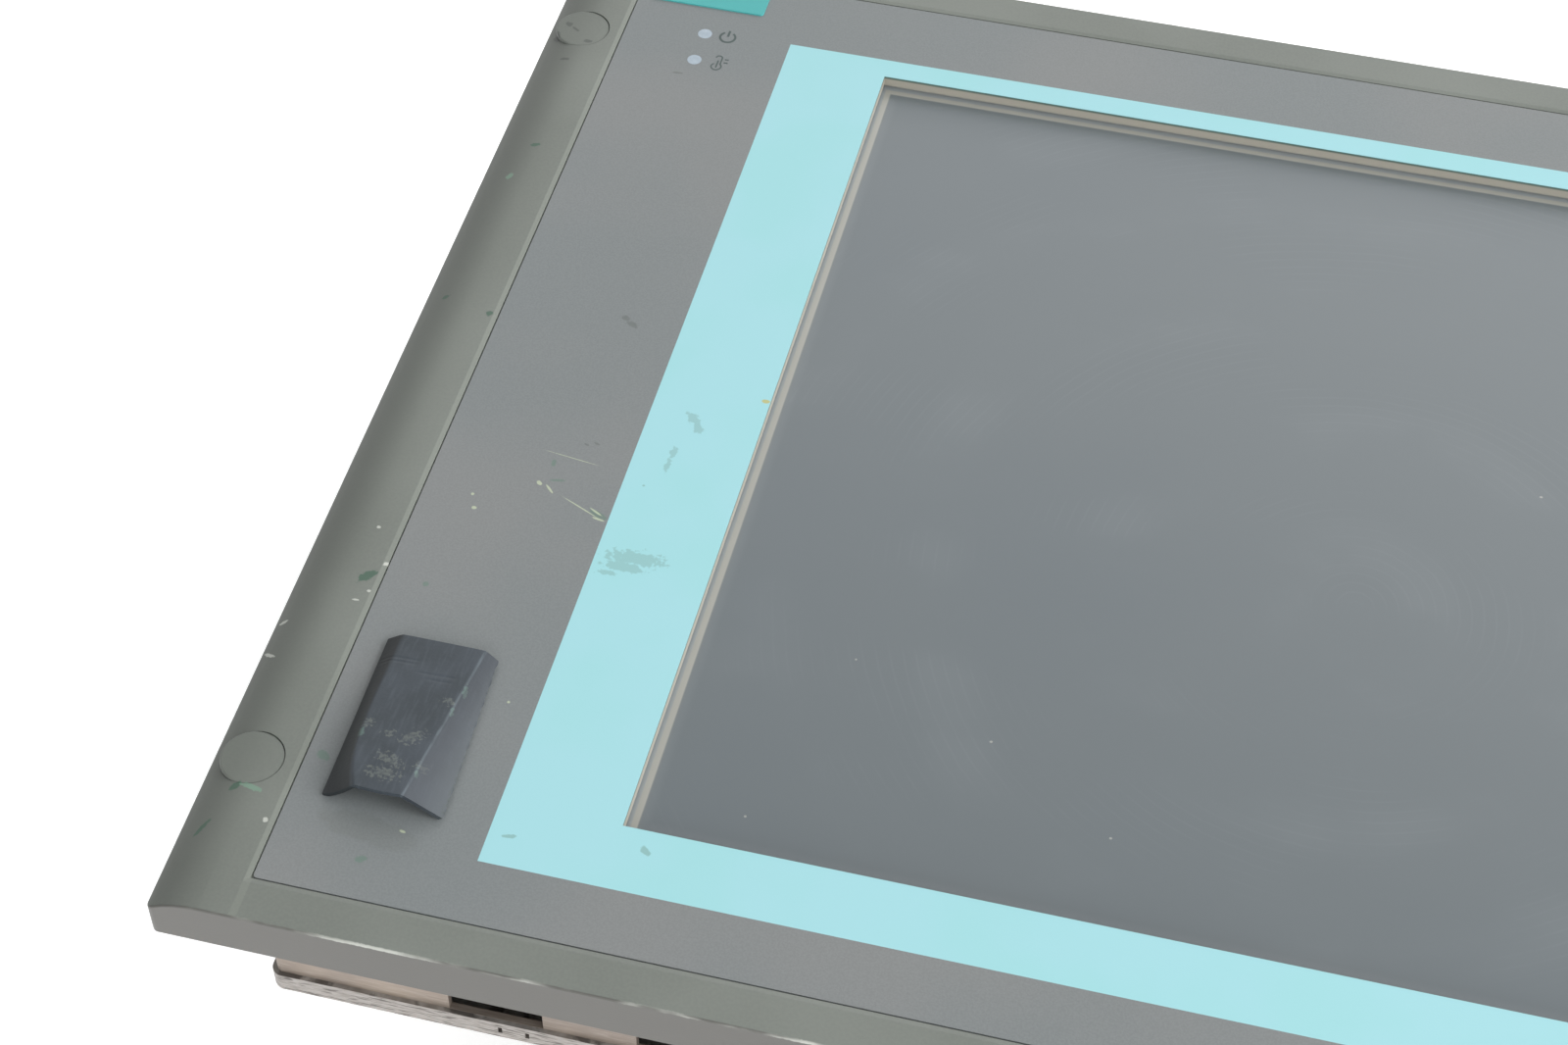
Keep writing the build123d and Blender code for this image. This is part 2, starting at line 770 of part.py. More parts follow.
with BuildPart() as computer_chassis:
    slab((computer_width, computer_height), case_sheet, computer_depth, corner=case_corner)
    slab(
        (computer_width - 2 * case_sheet, computer_height - 2 * case_sheet),
        2 * case_sheet,
        base_z,
        corner=case_corner / 2,
        mode=Mode.SUBTRACT,
    )
    slab(
        (computer_width - 2 * case_lip, computer_height - 2 * case_lip),
        0,
        2 * case_sheet,
        corner=case_corner,
        mode=Mode.SUBTRACT,
    )
    # ears that hold the unit to the housing
    for x, y in computer_screws_at:
        slab((ear_width + 2 * case_sheet, ear_length), base_z, computer_depth, (x, y))
        rod(screw_radius + screw_clearance, (x, y, base_z - 1), 4, mode=Mode.SUBTRACT)

    # window for the ribbon cable
    slab(
        cable_window,
        base_z,
        computer_depth,
        (cable_x, cable_rise_y),
        corner=cable_window_corner,
        mode=Mode.SUBTRACT,
    )

    # ways through the lower side
    lower = (case_bottom - 1, case_bottom + case_sheet + 1)
    for x, width, height in socket_ports.values():
        across = (x - width / 2 - port_gap, x + width / 2 + port_gap)
        block(across, lower, (board_face_z - height - port_gap, board_face_z + port_gap), Mode.SUBTRACT)
    opening = (rocker_opening[0] / 2 + rocker_frame_wall, rocker_opening[1] / 2 + rocker_frame_wall)
    block(
        (rocker_x - opening[0], rocker_x + opening[0]),
        lower,
        (rocker_z - opening[1], rocker_z + opening[1]),
        Mode.SUBTRACT,
    )
    block(
        (inlet_x - inlet_size[0] / 2, inlet_x + inlet_size[0] / 2),
        lower,
        (inlet_z - inlet_size[1] / 2, inlet_z + inlet_size[1] / 2),
        Mode.SUBTRACT,
    )
    way = (button_x, case_bottom - 1, button_z)
    rod(button_radius + button_clearance, way, 4, (0, 1, 0), Mode.SUBTRACT)
    stud_hole_radius = stud_neck_radius + stud_neck_clearance
    rod(stud_hole_radius, (stud_x, case_bottom - 1, stud_z), 4, (0, 1, 0), Mode.SUBTRACT)

    # air slots: intake in the lower side, exhaust in front of the fan
    for step in range(side_vents):
        x = side_vent_left + step * vent_pitch
        wide = (x - vent_width / 2, x + vent_width / 2)
        block(wide, lower, side_vent_z, Mode.SUBTRACT)
    upper = (case_top - case_sheet - 1, case_top + 1)
    slots = int(fan_size / vent_pitch)
    for step in range(slots):
        aside = (step - (slots - 1) / 2) * vent_pitch
        reach = sqrt((fan_size / 2 - 2) ** 2 - aside**2)
        wide = (fan_x + aside - vent_width / 2, fan_x + aside + vent_width / 2)
        block(wide, upper, (fan_z - reach, fan_z + reach), Mode.SUBTRACT)

    # doorway of the disk tray on the left, and of the memory card on the right
    block(
        (case_left - 1, case_left + case_sheet + 1),
        (tray_y - cage_width / 2, tray_y + cage_width / 2),
        (cage_low_z, cage_high_z),
        Mode.SUBTRACT,
    )
    block(
        (case_right - case_sheet - 1, case_right + 1),
        (card_y - card_slot[0] / 2, card_y + card_slot[0] / 2),
        (card_slot_z - card_slot[1] / 2, card_slot_z + card_slot[1] / 2),
        Mode.SUBTRACT,
    )

    # two ears that carry the hinge pin of the card door
    ear_near = door_size[0] / 2 + door_ear_gap
    ear_far = ear_near + door_ear_thickness
    ear_x = (case_right - case_sheet, hinge_x + door_ear_half)
    ear_z = (hinge_z - door_ear_half, hinge_z + door_ear_half)
    block(ear_x, (card_y - ear_far, card_y - ear_near), ear_z)
    block(ear_x, (card_y + ear_near, card_y + ear_far), ear_z)
    pin_hole = hinge_pin_radius + hinge_clearance
    hole_start = (hinge_x, card_y - ear_far - 1, hinge_z)
    rod(pin_hole, hole_start, 2 * ear_far + 2, (0, 1, 0), Mode.SUBTRACT)

    # holes for the cover's screws
    half_lip = case_lip / 2
    cover_screw_x = case_right - half_lip
    cover_screw_y = case_top - half_lip
    cover_screw_rows = even_steps(case_top - cover_screw_corner, 3)
    cover_screws_at = [(i * cover_screw_x, y) for i in (-1, 1) for y in cover_screw_rows]
    cover_screws_at += [(0, j * cover_screw_y) for j in (-1, 1)]
    for x, y in cover_screws_at:
        rod(screw_radius, (x, y, 0), 3, mode=Mode.SUBTRACT)
finish(computer_chassis, "computer_chassis")

sunk_radius = 2.6
sunk_clearance = 0.05
sunk_depth = 1.0
cross_length = 3.6
cross_width = 0.7
cross_depth = 0.6

with BuildPart() as computer_cover:
    slab((computer_width, computer_height), 0, case_sheet, corner=case_corner)
    vent = (vent_width, cover_vent_length)
    for row in (-1, 1):
        for x in even_steps(cover_vent_pitch * (cover_vents - 1) / 2, cover_vents):
            slab(vent, -1, 2, (x, row * cover_vent_y), corner=vent_width * 0.45, mode=Mode.SUBTRACT)
    for x, y in cover_screws_at:
        rod(sunk_radius + sunk_clearance, (x, y, -1), 1 + sunk_depth, mode=Mode.SUBTRACT)
        rod(screw_radius, (x, y, 0), 3, mode=Mode.SUBTRACT)
finish(computer_cover, "computer_cover")

with BuildPart() as cover_screws:
    for x, y in cover_screws_at:
        rod(sunk_radius, (x, y, 0), sunk_depth)
        rod(screw_radius - sunk_clearance, (x, y, sunk_depth), 3)
        for size in ((cross_length, cross_width), (cross_width, cross_length)):
            slab(size, -1, cross_depth, (x, y), mode=Mode.SUBTRACT)
finish(cover_screws, "cover_screws")

with BuildPart() as computer_screws:
    for x, y in computer_screws_at:
        screw((x, y, base_z), case_sheet + tray_sheet + 2.0)
finish(computer_screws, "computer_screws")

# ---------------------------------------------------------------- computer unit: board and what is on it

standoff_x = main_board_size[0] / 2 - standoff_inset
standoff_y = main_board_size[1] / 2 - standoff_inset
standoffs_at = [
    (main_board_middle[0] + i * standoff_x, main_board_middle[1] + j * standoff_y)
    for i in (-1, 0, 1)
    for j in (-1, 1)
]

with BuildPart() as main_board:
    slab(main_board_size, board_face_z, board_z, main_board_middle, corner=1)
finish(main_board, "main_board")

with BuildPart() as board_standoffs:
    for x, y in standoffs_at:
        with BuildSketch(Plane.XY.offset(board_z)) as hexagon:
            with Locations((x, y)):
                RegularPolygon(standoff_radius, 6)
        extrude(hexagon.sketch, amount=standoff_height)
finish(board_standoffs, "board_standoffs")

processor_at = (main_board_middle[0] + 7.0, main_board_middle[1] + 12.3)
processor_side = 34.0
processor_height = 2.4
sink_size = (78.0, 70.0)
sink_base = 5.0
sink_height = 25.0
sink_fins = 13
sink_fin_sheet = 1.6

with BuildPart() as processor:
    side = processor_side
    slab((side, side), board_face_z - processor_height, board_face_z, processor_at)
finish(processor, "processor")

with BuildPart() as heat_sink:
    sink_top = board_face_z - processor_height
    slab(sink_size, sink_top - sink_base, sink_top, processor_at)
    fin = (sink_fin_sheet, sink_size[1])
    for aside in even_steps((sink_size[0] - sink_fin_sheet) / 2, sink_fins):
        place = (processor_at[0] + aside, processor_at[1])
        slab(fin, sink_top - sink_height, sink_top - sink_base, place)
finish(heat_sink, "heat_sink")

memory_rows = [main_board_middle[0] - 75.0, main_board_middle[0] - 87.0]
memory_y = main_board_middle[1] + 2.3
memory_socket = (7.0, 140.0, 6.0)
memory_module = (1.3, 133.35, 20.0)
memory_seat = 2.0  # left under the module
memory_gap = 0.1

with BuildPart() as memory_sockets:
    for x in memory_rows:
        slab(memory_socket[:2], board_face_z - memory_socket[2], board_face_z, (x, memory_y))
        slit = (memory_module[0] + 2 * memory_gap, memory_module[1] + 6 * memory_gap)
        slab(slit, 0, board_face_z - memory_seat, (x, memory_y), mode=Mode.SUBTRACT)
finish(memory_sockets, "memory_sockets")

with BuildPart() as memory_modules:
    seat_z = board_face_z - memory_seat
    for x in memory_rows:
        slab(memory_module[:2], seat_z - memory_module[2], seat_z, (x, memory_y))
finish(memory_modules, "memory_modules")

battery_at = (main_board_middle[0] + 72.0, main_board_middle[1] + 62.3)
battery_radius = 10.0
battery_height = 3.2
battery_gap = 0.1
holder_side = 23.0
holder_height = 4.6
holder_corner = 3.0

with BuildPart() as battery_holder:
    holder_z = board_face_z - holder_height
    slab((holder_side, holder_side), holder_z, board_face_z, battery_at, corner=holder_corner)
    rod(battery_radius + battery_gap, (*battery_at, holder_z - 1), 1 + battery_height, mode=Mode.SUBTRACT)
finish(battery_holder, "battery_holder")

with BuildPart() as buffer_battery:
    rod(battery_radius, (*battery_at, holder_z), battery_height)
finish(buffer_battery, "buffer_battery")

# ---------------------------------------------------------------- computer unit: sockets

port_depth = 16.0
port_lead = 0.6  # how far a port stands out of the case
port_back_y = case_bottom + port_depth
network_hole = (11.8, 8.4)
usb_hole = (12.5, 5.1)
usb_half_pitch = 3.8
d_wall = 0.6
d_angle = 80.0
d_proud = 5.0


def port_body(name, lead=port_lead):
    x, width, height = socket_ports[name]
    wide = (x - width / 2, x + width / 2)
    block(wide, (case_bottom - lead, port_back_y), (board_face_z - height, board_face_z))
    return x, board_face_z - height / 2


def port_hole(x, z, width, height, depth=11.0):
    wide = (x - width / 2, x + width / 2)
    tall = (z - height / 2, z + height / 2)
    block(wide, (case_bottom - 5, case_bottom + depth), tall, Mode.SUBTRACT)


with BuildPart() as network_sockets:
    for name in ("network_socket_1", "network_socket_2"):
        x, z = port_body(name)
        port_hole(x, z, *network_hole)
finish(network_sockets, "network_sockets")

with BuildPart() as usb_sockets:
    for name in ("usb_sockets_1", "usb_sockets_2"):
        x, z = port_body(name)
        for j in (-1, 1):
            port_hole(x, z + j * usb_half_pitch, *usb_hole)
finish(usb_sockets, "usb_sockets")

# A shell of a D-shaped socket, standing out of its block.
def d_shell(x, z, width, height):
    with BuildSketch(Plane(origin=(x, case_bottom, z), x_dir=(1, 0, 0), z_dir=(0, -1, 0))) as shape:
        Trapezoid(width, height, d_angle)
        offset(amount=-d_wall, mode=Mode.SUBTRACT)
    extrude(shape.sketch, amount=d_proud)


with BuildPart() as serial_socket:
    x, z = port_body("serial_socket", 0)
    d_shell(x, z, 17, 8.4)
    pin_pitch = 2.77
    for row, count in ((1.4, 5), (-1.4, 4)):
        for aside in even_steps(pin_pitch * (count - 1) / 2, count):
            rod(0.5, (x + aside, case_bottom, z + row), d_proud - d_wall, (0, -1, 0))
finish(serial_socket, "serial_socket")

with BuildPart() as video_socket:
    x, z = port_body("video_socket", 0)
    d_shell(x, z, 26, 9)
finish(video_socket, "video_socket")

# Mains inlet: a flange outside the case, a body inside it, a well and three blades.
inlet_flange = (30.0, 24.0)
inlet_flange_sheet = 2.0
inlet_depth = 22.0
inlet_well = (22.4, 14.4)
inlet_well_depth = 16.0
inlet_body_gap = 0.1
blade_places = ((-7, -1.5), (0, 2.5), (7, -1.5))
blade_size = (2.0, 13.0, 4.0)

with BuildPart() as power_inlet:
    half = (inlet_flange[0] / 2, inlet_flange[1] / 2)
    block(
        (inlet_x - half[0], inlet_x + half[0]),
        (case_bottom - inlet_flange_sheet, case_bottom),
        (inlet_z - half[1], inlet_z + half[1]),
    )
    half = (inlet_size[0] / 2 - inlet_body_gap, inlet_size[1] / 2 - inlet_body_gap)
    block(
        (inlet_x - half[0], inlet_x + half[0]),
        (case_bottom, case_bottom + inlet_depth),
        (inlet_z - half[1], inlet_z + half[1]),
    )
    well_floor_y = case_bottom - inlet_flange_sheet + inlet_well_depth
    block(
        (inlet_x - inlet_well[0] / 2, inlet_x + inlet_well[0] / 2),
        (case_bottom - 5, well_floor_y),
        (inlet_z - inlet_well[1] / 2, inlet_z + inlet_well[1] / 2),
        Mode.SUBTRACT,
    )
finish(power_inlet, "power_inlet")

with BuildPart() as inlet_blades:
    for aside, rise in blade_places:
        with Locations((inlet_x + aside, well_floor_y - blade_size[1] / 2, inlet_z + rise)):
            Box(*blade_size)
finish(inlet_blades, "inlet_blades")

# ---------------------------------------------------------------- power supply

# A box open at its back, with slots in its top, over a circuit board with its larger parts.
supply_sheet = 1.0
supply_x = (62.0, case_right - case_sheet - 2)
supply_y = (case_bottom + 32, 62.0)
supply_z = (4.0, 34.0)
supply_slot = (3.0, 8.0)
supply_board_gap = 2.0
supply_board_z = supply_z[0] + 1.0

with BuildPart() as power_supply:
    block(supply_x, supply_y, supply_z)
    block(
        (supply_x[0] + supply_sheet, supply_x[1] - supply_sheet),
        (supply_y[0] + supply_sheet, supply_y[1] - supply_sheet),
        (supply_z[0] - 1, supply_z[1] - supply_sheet),
        Mode.SUBTRACT,
    )
    with Locations((sum(supply_x) / 2, 0, supply_z[1])):
        with GridLocations(10, 12, 5, 7):
            Box(*supply_slot, 4 * supply_sheet, mode=Mode.SUBTRACT)
finish(power_supply, "power_supply")

with BuildPart() as supply_circuit:
    margin = supply_sheet + supply_board_gap
    inside_x = (supply_x[0] + margin, supply_x[1] - margin)
    inside_y = (supply_y[0] + margin, supply_y[1] - margin)
    parts_z = supply_board_z + board_thickness
    block(inside_x, inside_y, (supply_board_z, parts_z))
    middle_x = sum(inside_x) / 2
    transformer = ((middle_x - 16, middle_x + 16), (-20, 10))
    choke = ((middle_x - 30, middle_x - 20), (-60, -30))
    block(*transformer, (parts_z, parts_z + 19.4))
    block(*choke, (parts_z, parts_z + 17.4))
    for y in (-60, -42, 30):
        rod(7, (middle_x + 22, y, parts_z), 18)
finish(supply_circuit, "supply_circuit")

# ---------------------------------------------------------------- mains rocker switch

rocker_radius = 9.0
rocker_width = 10.2
rocker_pivot_y = case_bottom + 3.0
rocker_pin_radius = 1.0
rocker_tilt = 8.0  # degrees either way from level
rocker_flange = 1.5
rocker_flange_lap = 3.0
rocker_body_wall = rocker_frame_wall - 0.1
rocker_body_depth = 14.0
rocker_pin_clearance = 0.05

with BuildPart() as rocker_frame:
    half_x, half_z = rocker_opening[0] / 2, rocker_opening[1] / 2
    deep_y = case_bottom + rocker_body_depth
    lap = rocker_flange_lap
    block(
        (rocker_x - half_x - lap, rocker_x + half_x + lap),
        (case_bottom - rocker_flange, case_bottom),
        (rocker_z - half_z - lap, rocker_z + half_z + lap),
    )
    wall = rocker_body_wall
    block(
        (rocker_x - half_x - wall, rocker_x + half_x + wall),
        (case_bottom, deep_y),
        (rocker_z - half_z - wall, rocker_z + half_z + wall),
    )
    block(
        (rocker_x - half_x, rocker_x + half_x),
        (case_bottom - 5, deep_y - wall),
        (rocker_z - half_z, rocker_z + half_z),
        Mode.SUBTRACT,
    )
    hole_radius = rocker_pin_radius + rocker_pin_clearance
    hole_start = (rocker_x - half_x - 1, rocker_pivot_y, rocker_z)
    rod(hole_radius, hole_start, 2 * half_x + 2, (1, 0, 0), Mode.SUBTRACT)
finish(rocker_frame, "rocker_frame")

# The rocker's face is two flats that meet in a shallow valley. It rests with its lower end pressed in.
with BuildPart() as power_rocker:
    inward = (0, cos(radians(rocker_tilt)), -sin(radians(rocker_tilt)))
    pivot = (rocker_x, rocker_pivot_y, rocker_z)
    with BuildSketch(Plane(origin=pivot, x_dir=inward, z_dir=(1, 0, 0))) as profile:
        Circle(rocker_radius)
        valley = -4.4
        rise = rocker_radius * sin(radians(rocker_tilt)) * 1.2
        with BuildLine():
            Polyline(
                (valley, 0),
                (valley - rise, 12),
                (-14, 12),
                (-14, -12),
                (valley - rise, -12),
                close=True,
            )
        make_face(mode=Mode.SUBTRACT)
        with Locations((7, 0)):
            Rectangle(8, 20, mode=Mode.SUBTRACT)
    extrude(profile.sketch, amount=rocker_width / 2, both=True)
    pin_start = (rocker_x - rocker_width / 2 - 0.7, rocker_pivot_y, rocker_z)
    rod(rocker_pin_radius, pin_start, rocker_width + 1.4, (1, 0, 0))
finish(power_rocker, "power_rocker")

# ---------------------------------------------------------------- reset button and earth stud

button_travel = 1.2
button_proud = 1.6
button_length = 9.0
switch_side = 8.0
switch_depth = 16.0

with BuildPart() as reset_button:
    rod(button_radius, (button_x, case_bottom - button_proud, button_z), button_length, (0, 1, 0))
finish(reset_button, "reset_button")

with BuildPart() as reset_switch:
    half = switch_side / 2
    switch_y = (case_bottom + case_sheet, case_bottom + switch_depth)
    block((button_x - half, button_x + half), switch_y, (button_z - half, button_z + half))
    bore_start = (button_x, switch_y[0] - 1, button_z)
    bore_length = button_length + button_travel
    rod(button_radius + button_clearance, bore_start, bore_length, (0, 1, 0), Mode.SUBTRACT)
finish(reset_switch, "reset_switch")

# The earth stud: a round head inside the case, a thicker neck through the sheet and a thinner shank.
stud_length = 9.8
stud_head = (4.0, 1.5)  # radius and height

with BuildPart() as earth_stud:
    inside = (stud_x, case_bottom + case_sheet, stud_z)
    rod(stud_head[0], inside, stud_head[1], (0, 1, 0))
    rod(stud_neck_radius, inside, case_sheet, (0, -1, 0))
    rod(stud_radius, (stud_x, case_bottom, stud_z), stud_length, (0, -1, 0))
finish(earth_stud, "earth_stud")

# ---------------------------------------------------------------- fan

fan_back_y = case_top - case_sheet
fan_front_y = fan_back_y - fan_depth
fan_bore = fan_size / 2 - 2
motor_plate = 1.6
strut_width = 3.0
bearing_radius = 3.4
bearing_length = 9.0
rotor_end_gap = 1.2
blade_chord = 12.0
blade_half_sheet = 0.7
rotor_radius = fan_bore - fan_clearance
hub_radius = 12.0
hub_gap = 1.0
blade_count = 7
blade_pitch = 38.0

with BuildPart() as fan_frame:
    half = fan_size / 2
    block(
        (fan_x - half, fan_x + half),
        (fan_front_y, fan_back_y),
        (fan_z - half, fan_z + half),
    )
    rod(fan_bore, (fan_x, fan_front_y - 1, fan_z), fan_depth + 2, (0, 1, 0), Mode.SUBTRACT)
    # motor plate on three struts at the inner face, with the bearing tube
    rod(hub_radius, (fan_x, fan_front_y, fan_z), motor_plate, (0, 1, 0))
    for step in range(3):
        turn = radians(step * 120)
        strut_middle = (fan_x, fan_front_y + motor_plate / 2, fan_z)
        strut = Plane(origin=strut_middle, x_dir=(cos(turn), 0, sin(turn)), z_dir=(0, 1, 0))
        with BuildSketch(strut) as bar:
            with Locations(((hub_radius + fan_bore) / 2, 0)):
                Rectangle(fan_bore - hub_radius + 3, strut_width)
        extrude(bar.sketch, amount=motor_plate / 2, both=True)
    rod(bearing_radius, (fan_x, fan_front_y, fan_z), bearing_length, (0, 1, 0))
    bore_start = (fan_x, fan_front_y + motor_plate / 2, fan_z)
    rod(shaft_radius + shaft_clearance, bore_start, fan_depth, (0, 1, 0), Mode.SUBTRACT)
finish(fan_frame, "fan_frame")

with BuildPart() as fan_rotor:
    rotor_y = fan_front_y + motor_plate + hub_gap
    rotor_end_y = fan_back_y - rotor_end_gap
    rotor_length = rotor_end_y - rotor_y
    reach = (rotor_radius + hub_radius) / 2
    middle_y = (rotor_y + rotor_end_y) / 2
    pitch = radians(blade_pitch)
    for step in range(blade_count):
        turn = radians(step * 360 / blade_count)
        outward = (cos(turn), 0, sin(turn))
        normal = (-sin(turn) * sin(pitch), cos(pitch), cos(turn) * sin(pitch))
        middle = (fan_x + reach * outward[0], middle_y, fan_z + reach * outward[2])
        with BuildSketch(Plane(origin=middle, x_dir=outward, z_dir=normal)) as blade:
            Rectangle(rotor_radius - hub_radius + 3, blade_chord)
        extrude(blade.sketch, amount=blade_half_sheet, both=True)
    with BuildSketch(Plane(origin=(fan_x, rotor_y, fan_z), z_dir=(0, 1, 0))) as swept:
        Circle(rotor_radius)
    extrude(swept.sketch, amount=rotor_length, mode=Mode.INTERSECT)
    rod(hub_radius, (fan_x, rotor_y, fan_z), rotor_length, (0, 1, 0))
    rod(bearing_radius + 0.8, (fan_x, rotor_y - 1, fan_z), rotor_length - 1, (0, 1, 0), Mode.SUBTRACT)
    shaft_y = fan_front_y + motor_plate * 0.75
    rod(shaft_radius, (fan_x, shaft_y, fan_z), rotor_end_y - shaft_y, (0, 1, 0))
finish(fan_rotor, "fan_rotor")

# ---------------------------------------------------------------- disk cage, tray and disk

cage_length = disk_length + 4
cage_x = (case_left + case_sheet, case_left + case_sheet + cage_length)
cage_rail = 8.0  # width of each rail under the tray

with BuildPart() as disk_cage:
    outer_y = (tray_y - cage_width / 2 - cage_sheet, tray_y + cage_width / 2 + cage_sheet)
    block(cage_x, outer_y, (cage_low_z - cage_sheet, cage_high_z + cage_sheet))
    inner_y = (tray_y - cage_width / 2, tray_y + cage_width / 2)
    block((cage_x[0] - 1, cage_x[1] + 1), inner_y, (cage_low_z, cage_high_z), Mode.SUBTRACT)
    open_y = (inner_y[0] + cage_rail, inner_y[1] - cage_rail)
    block((cage_x[0] - 1, cage_x[1] + 1), open_y, (0, cage_low_z + 1), Mode.SUBTRACT)
finish(disk_cage, "disk_cage")

tray_front_sheet = 1.5
tray_front_gap = 0.1
tray_front_lap = (5.0, 3.0)  # past the doorway, along Y and Z
tray_side = 12.0
tray_front_x = case_left - tray_front_gap

with BuildPart() as disk_tray:
    half_tray = disk_width / 2 + disk_tray_sheet
    tray_x = (tray_front_x, cage_x[1] - 3)
    tray_z = (disk_low_z - disk_tray_sheet, disk_low_z + tray_side)
    block(tray_x, (tray_y - half_tray, tray_y + half_tray), tray_z)
    block(
        (tray_x[0] + 1, tray_x[1] + 1),
        (tray_y - disk_width / 2, tray_y + disk_width / 2),
        (disk_low_z, disk_low_z + 20),
        Mode.SUBTRACT,
    )
    half_front = cage_width / 2 + tray_front_lap[0]
    block(
        (tray_front_x - tray_front_sheet, tray_front_x),
        (tray_y - half_front, tray_y + half_front),
        (cage_low_z - tray_front_lap[1], cage_high_z + tray_front_lap[1]),
    )
finish(disk_tray, "disk_tray")

with BuildPart() as hard_disk:
    disk_x = (case_left + 2.5, case_left + 2.5 + disk_length - 4)
    disk_y = (tray_y - disk_width / 2, tray_y + disk_width / 2)
    block(disk_x, disk_y, (disk_low_z, disk_low_z + disk_height))
    fillet(hard_disk.edges().filter_by(Axis.Z), 2)
finish(hard_disk, "hard_disk")

knob_radius = 3.4
knob_length = 3.4
knob_rise = 14.0

with BuildPart() as tray_screws:
    for j in (-1, 1):
        y = tray_y + j * (cage_width / 2 + cage_sheet)
        start = (tray_front_x - tray_front_sheet, y, cage_low_z + knob_rise)
        rod(knob_radius, start, knob_length, (-1, 0, 0))
finish(tray_screws, "tray_screws")

# ---------------------------------------------------------------- memory card slot and door

card_socket_depth = 30.0
card_socket_wall = 2.0
card_passage = (43.2, 4.2)  # along Y and Z

with BuildPart() as card_socket:
    inner_x = case_right - case_sheet - 0.5
    half_y, half_z = card_passage[0] / 2, card_passage[1] / 2
    block(
        (inner_x - card_socket_depth, inner_x),
        (card_y - half_y - card_socket_wall, card_y + half_y + card_socket_wall),
        (card_slot_z - half_z - card_socket_wall, board_face_z),
    )
    block(
        (inner_x - card_socket_depth + card_socket_wall, inner_x + 1),
        (card_y - half_y, card_y + half_y),
        (card_slot_z - half_z, card_slot_z + half_z),
        Mode.SUBTRACT,
    )
finish(card_socket, "card_socket")

with BuildPart() as card_door:
    half_y = door_size[0] / 2
    block(
        (case_right + door_gap, case_right + door_gap + door_sheet),
        (card_y - half_y, card_y + half_y),
        (hinge_z, hinge_z + door_size[1]),
    )
    rod(hinge_radius, (hinge_x, card_y - half_y, hinge_z), door_size[0], (0, 1, 0))
    pin_half = half_y + door_ear_gap + door_ear_thickness - 0.4
    rod(hinge_pin_radius, (hinge_x, card_y - pin_half, hinge_z), 2 * pin_half, (0, 1, 0))
finish(card_door, "card_door")

# ---------------------------------------------------------------- ribbon cable between board and display

cable_plug = (cable_width + 4, 8.0, 5.5)
board_plug_y = main_board_top - 11.7
display_plug_y = cable_rise_y + 30.0
cable_low_z = board_z + 3.0
cable_high_z = module_foot_z - 4.0
bend = 4.0

with BuildPart() as display_cable:
    with BuildSketch(Plane(origin=(cable_x, 0, 0), x_dir=(0, 1, 0), z_dir=(1, 0, 0))) as run:
        with BuildLine():
            FilletPolyline(
                (board_plug_y, cable_low_z),
                (cable_rise_y, cable_low_z),
                (cable_rise_y, cable_high_z),
                (display_plug_y, cable_high_z),
                radius=bend,
            )
        trace(line_width=cable_sheet)
    extrude(run.sketch, amount=cable_width / 2, both=True)
finish(display_cable, "display_cable")

with BuildPart() as cable_plugs:
    slab(cable_plug[:2], board_z, board_z + cable_plug[2], (cable_x, board_plug_y))
    slab(cable_plug[:2], module_foot_z - cable_plug[2], module_foot_z, (cable_x, display_plug_y))
    block(
        (cable_x - cable_width, cable_x + cable_width),
        (board_plug_y, board_plug_y + 10),
        (cable_low_z - cable_sheet, cable_low_z + cable_sheet),
        Mode.SUBTRACT,
    )
    block(
        (cable_x - cable_width, cable_x + cable_width),
        (display_plug_y - 10, display_plug_y),
        (cable_high_z - cable_sheet, cable_high_z + cable_sheet),
        Mode.SUBTRACT,
    )
finish(cable_plugs, "cable_plugs")
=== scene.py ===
import json
import math

import bpy
import numpy as np
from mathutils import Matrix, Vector


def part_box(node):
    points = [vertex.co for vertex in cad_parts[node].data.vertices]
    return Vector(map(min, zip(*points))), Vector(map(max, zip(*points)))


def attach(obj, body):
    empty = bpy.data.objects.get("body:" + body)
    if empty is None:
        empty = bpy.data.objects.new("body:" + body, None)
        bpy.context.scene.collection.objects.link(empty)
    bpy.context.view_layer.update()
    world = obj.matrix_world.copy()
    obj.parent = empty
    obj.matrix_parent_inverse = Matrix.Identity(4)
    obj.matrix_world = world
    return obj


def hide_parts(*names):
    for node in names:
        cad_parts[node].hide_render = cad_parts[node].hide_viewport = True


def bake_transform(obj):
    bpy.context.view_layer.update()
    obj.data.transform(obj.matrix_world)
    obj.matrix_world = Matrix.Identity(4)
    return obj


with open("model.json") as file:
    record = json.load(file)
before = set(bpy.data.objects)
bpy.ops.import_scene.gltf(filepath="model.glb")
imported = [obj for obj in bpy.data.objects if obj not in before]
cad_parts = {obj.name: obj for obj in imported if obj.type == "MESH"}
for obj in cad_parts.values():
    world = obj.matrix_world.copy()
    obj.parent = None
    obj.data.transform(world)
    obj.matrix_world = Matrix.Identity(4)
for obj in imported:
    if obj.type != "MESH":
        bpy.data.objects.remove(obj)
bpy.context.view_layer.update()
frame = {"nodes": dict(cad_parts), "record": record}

nodes = frame["nodes"]
mm = 0.001

